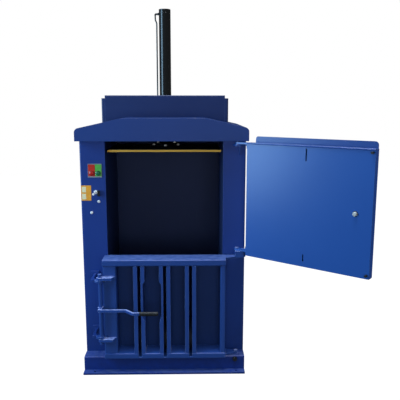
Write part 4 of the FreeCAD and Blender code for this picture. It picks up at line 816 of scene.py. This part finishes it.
# %% Lamps
def softbox(name, place, aim, size, power, colour="#ffffff", mirrored=True):
    """Area lamp at a place, turned to face a point and left out of the picture itself."""
    lamp = bpy.data.lights.new(name, "AREA")
    lamp.shape = "RECTANGLE"
    lamp.size, lamp.size_y = size
    lamp.energy = power
    lamp.color = linear(colour)[:3]
    holder = bpy.data.objects.new(name, lamp)
    holder.location = place
    holder.rotation_euler = (Vector(aim) - Vector(place)).to_track_quat("-Z", "Y").to_euler()
    holder.visible_camera = False
    holder.visible_glossy = mirrored
    scene.collection.objects.link(holder)


softbox("key_left", (-2.3, -1.25, 1.8), (0.6, -0.5, 1.1), (1.0, 2.4), 80, "#aedcff")
softbox("above", (-0.1, -1.1, 6.5), (0.0, -0.3, 0.8), (3.0, 1.8), 330, "#e2ebff")
softbox("fill_front", (0.3, -4.4, 1.3), (0.0, -0.3, 0.9), (2.4, 1.6), 44, mirrored=False)
softbox("fill_right", (3.6, -1.6, 1.5), (0.8, 0.0, 1.0), (1.4, 1.4), 45, "#e8eeff", mirrored=False)
softbox("fill_rear", (1.6, 4.2, 2.6), (0.0, 0.3, 1.0), (2.4, 1.6), 60, "#e8eeff", mirrored=False)

# %% [markdown]
# ## White ground
# A studio's paper sweep has no horizon, and in the picture it is pure white. White paper that is
# really lit would throw its light back on the machine, so the white is only what the camera sees:
# Light Path picks out the camera's rays, and every other ray meets a dim sky and dark grey paper.

# %% White ground
SKY_STRENGTH = 0.09
PAPER_CORNERS = ((-9, -7), (9, -7), (9, 9), (-9, 9))
PAPER_DROP = 0.5 * MM       # the paper lies just under the base plate
PAPER_GLOW = 1.38
PAPER_SHARE = 0.78          # how much of the paper's look is glow; the rest takes the soft shadow

world = bpy.data.worlds.new("studio")
world.use_nodes = True
scene.world = world
sky = world.node_tree
sky.nodes.clear()
seen = add(sky, "ShaderNodeLightPath")
soft = add(sky, "ShaderNodeBackground", {"Color": linear("#e6ecf8"), "Strength": SKY_STRENGTH})
white = add(sky, "ShaderNodeBackground", {"Color": linear("#ffffff"), "Strength": 1.0})
both = add(sky, "ShaderNodeMixShader", {0: seen.outputs["Is Camera Ray"], 1: soft.outputs["Background"],
                                        2: white.outputs["Background"]})
add(sky, "ShaderNodeOutputWorld", {"Surface": both.outputs["Shader"]})

floor_mesh = bmesh.new()
for x, y in PAPER_CORNERS:
    floor_mesh.verts.new((x, y, -PAPER_DROP))
floor_mesh.faces.new(floor_mesh.verts)
floor_data = bpy.data.meshes.new("floor")
floor_mesh.to_mesh(floor_data)
floor_mesh.free()
floor = bpy.data.objects.new("floor", floor_data)
scene.collection.objects.link(floor)

paper, tree, shader = start_material("seamless_paper")
shader.inputs["Base Color"].default_value = linear("#3d434f")
shader.inputs["Roughness"].default_value = 0.9
ray = add(tree, "ShaderNodeLightPath")
glow = add(tree, "ShaderNodeEmission", {"Color": linear("#ffffff"), "Strength": PAPER_GLOW})
lift = add(tree, "ShaderNodeMath", {0: ray.outputs["Is Camera Ray"], 1: PAPER_SHARE},
           operation="MULTIPLY")
blend = add(tree, "ShaderNodeMixShader", {0: lift.outputs["Value"], 1: shader.outputs["BSDF"],
                                          2: glow.outputs["Emission"]})
tree.links.new(blend.outputs["Shader"], tree.nodes["Material Output"].inputs["Surface"])
floor.data.materials.append(paper)
scene.view_settings.view_transform = "Standard"
print("paper %d m wide" % (PAPER_CORNERS[1][0] - PAPER_CORNERS[0][0]))
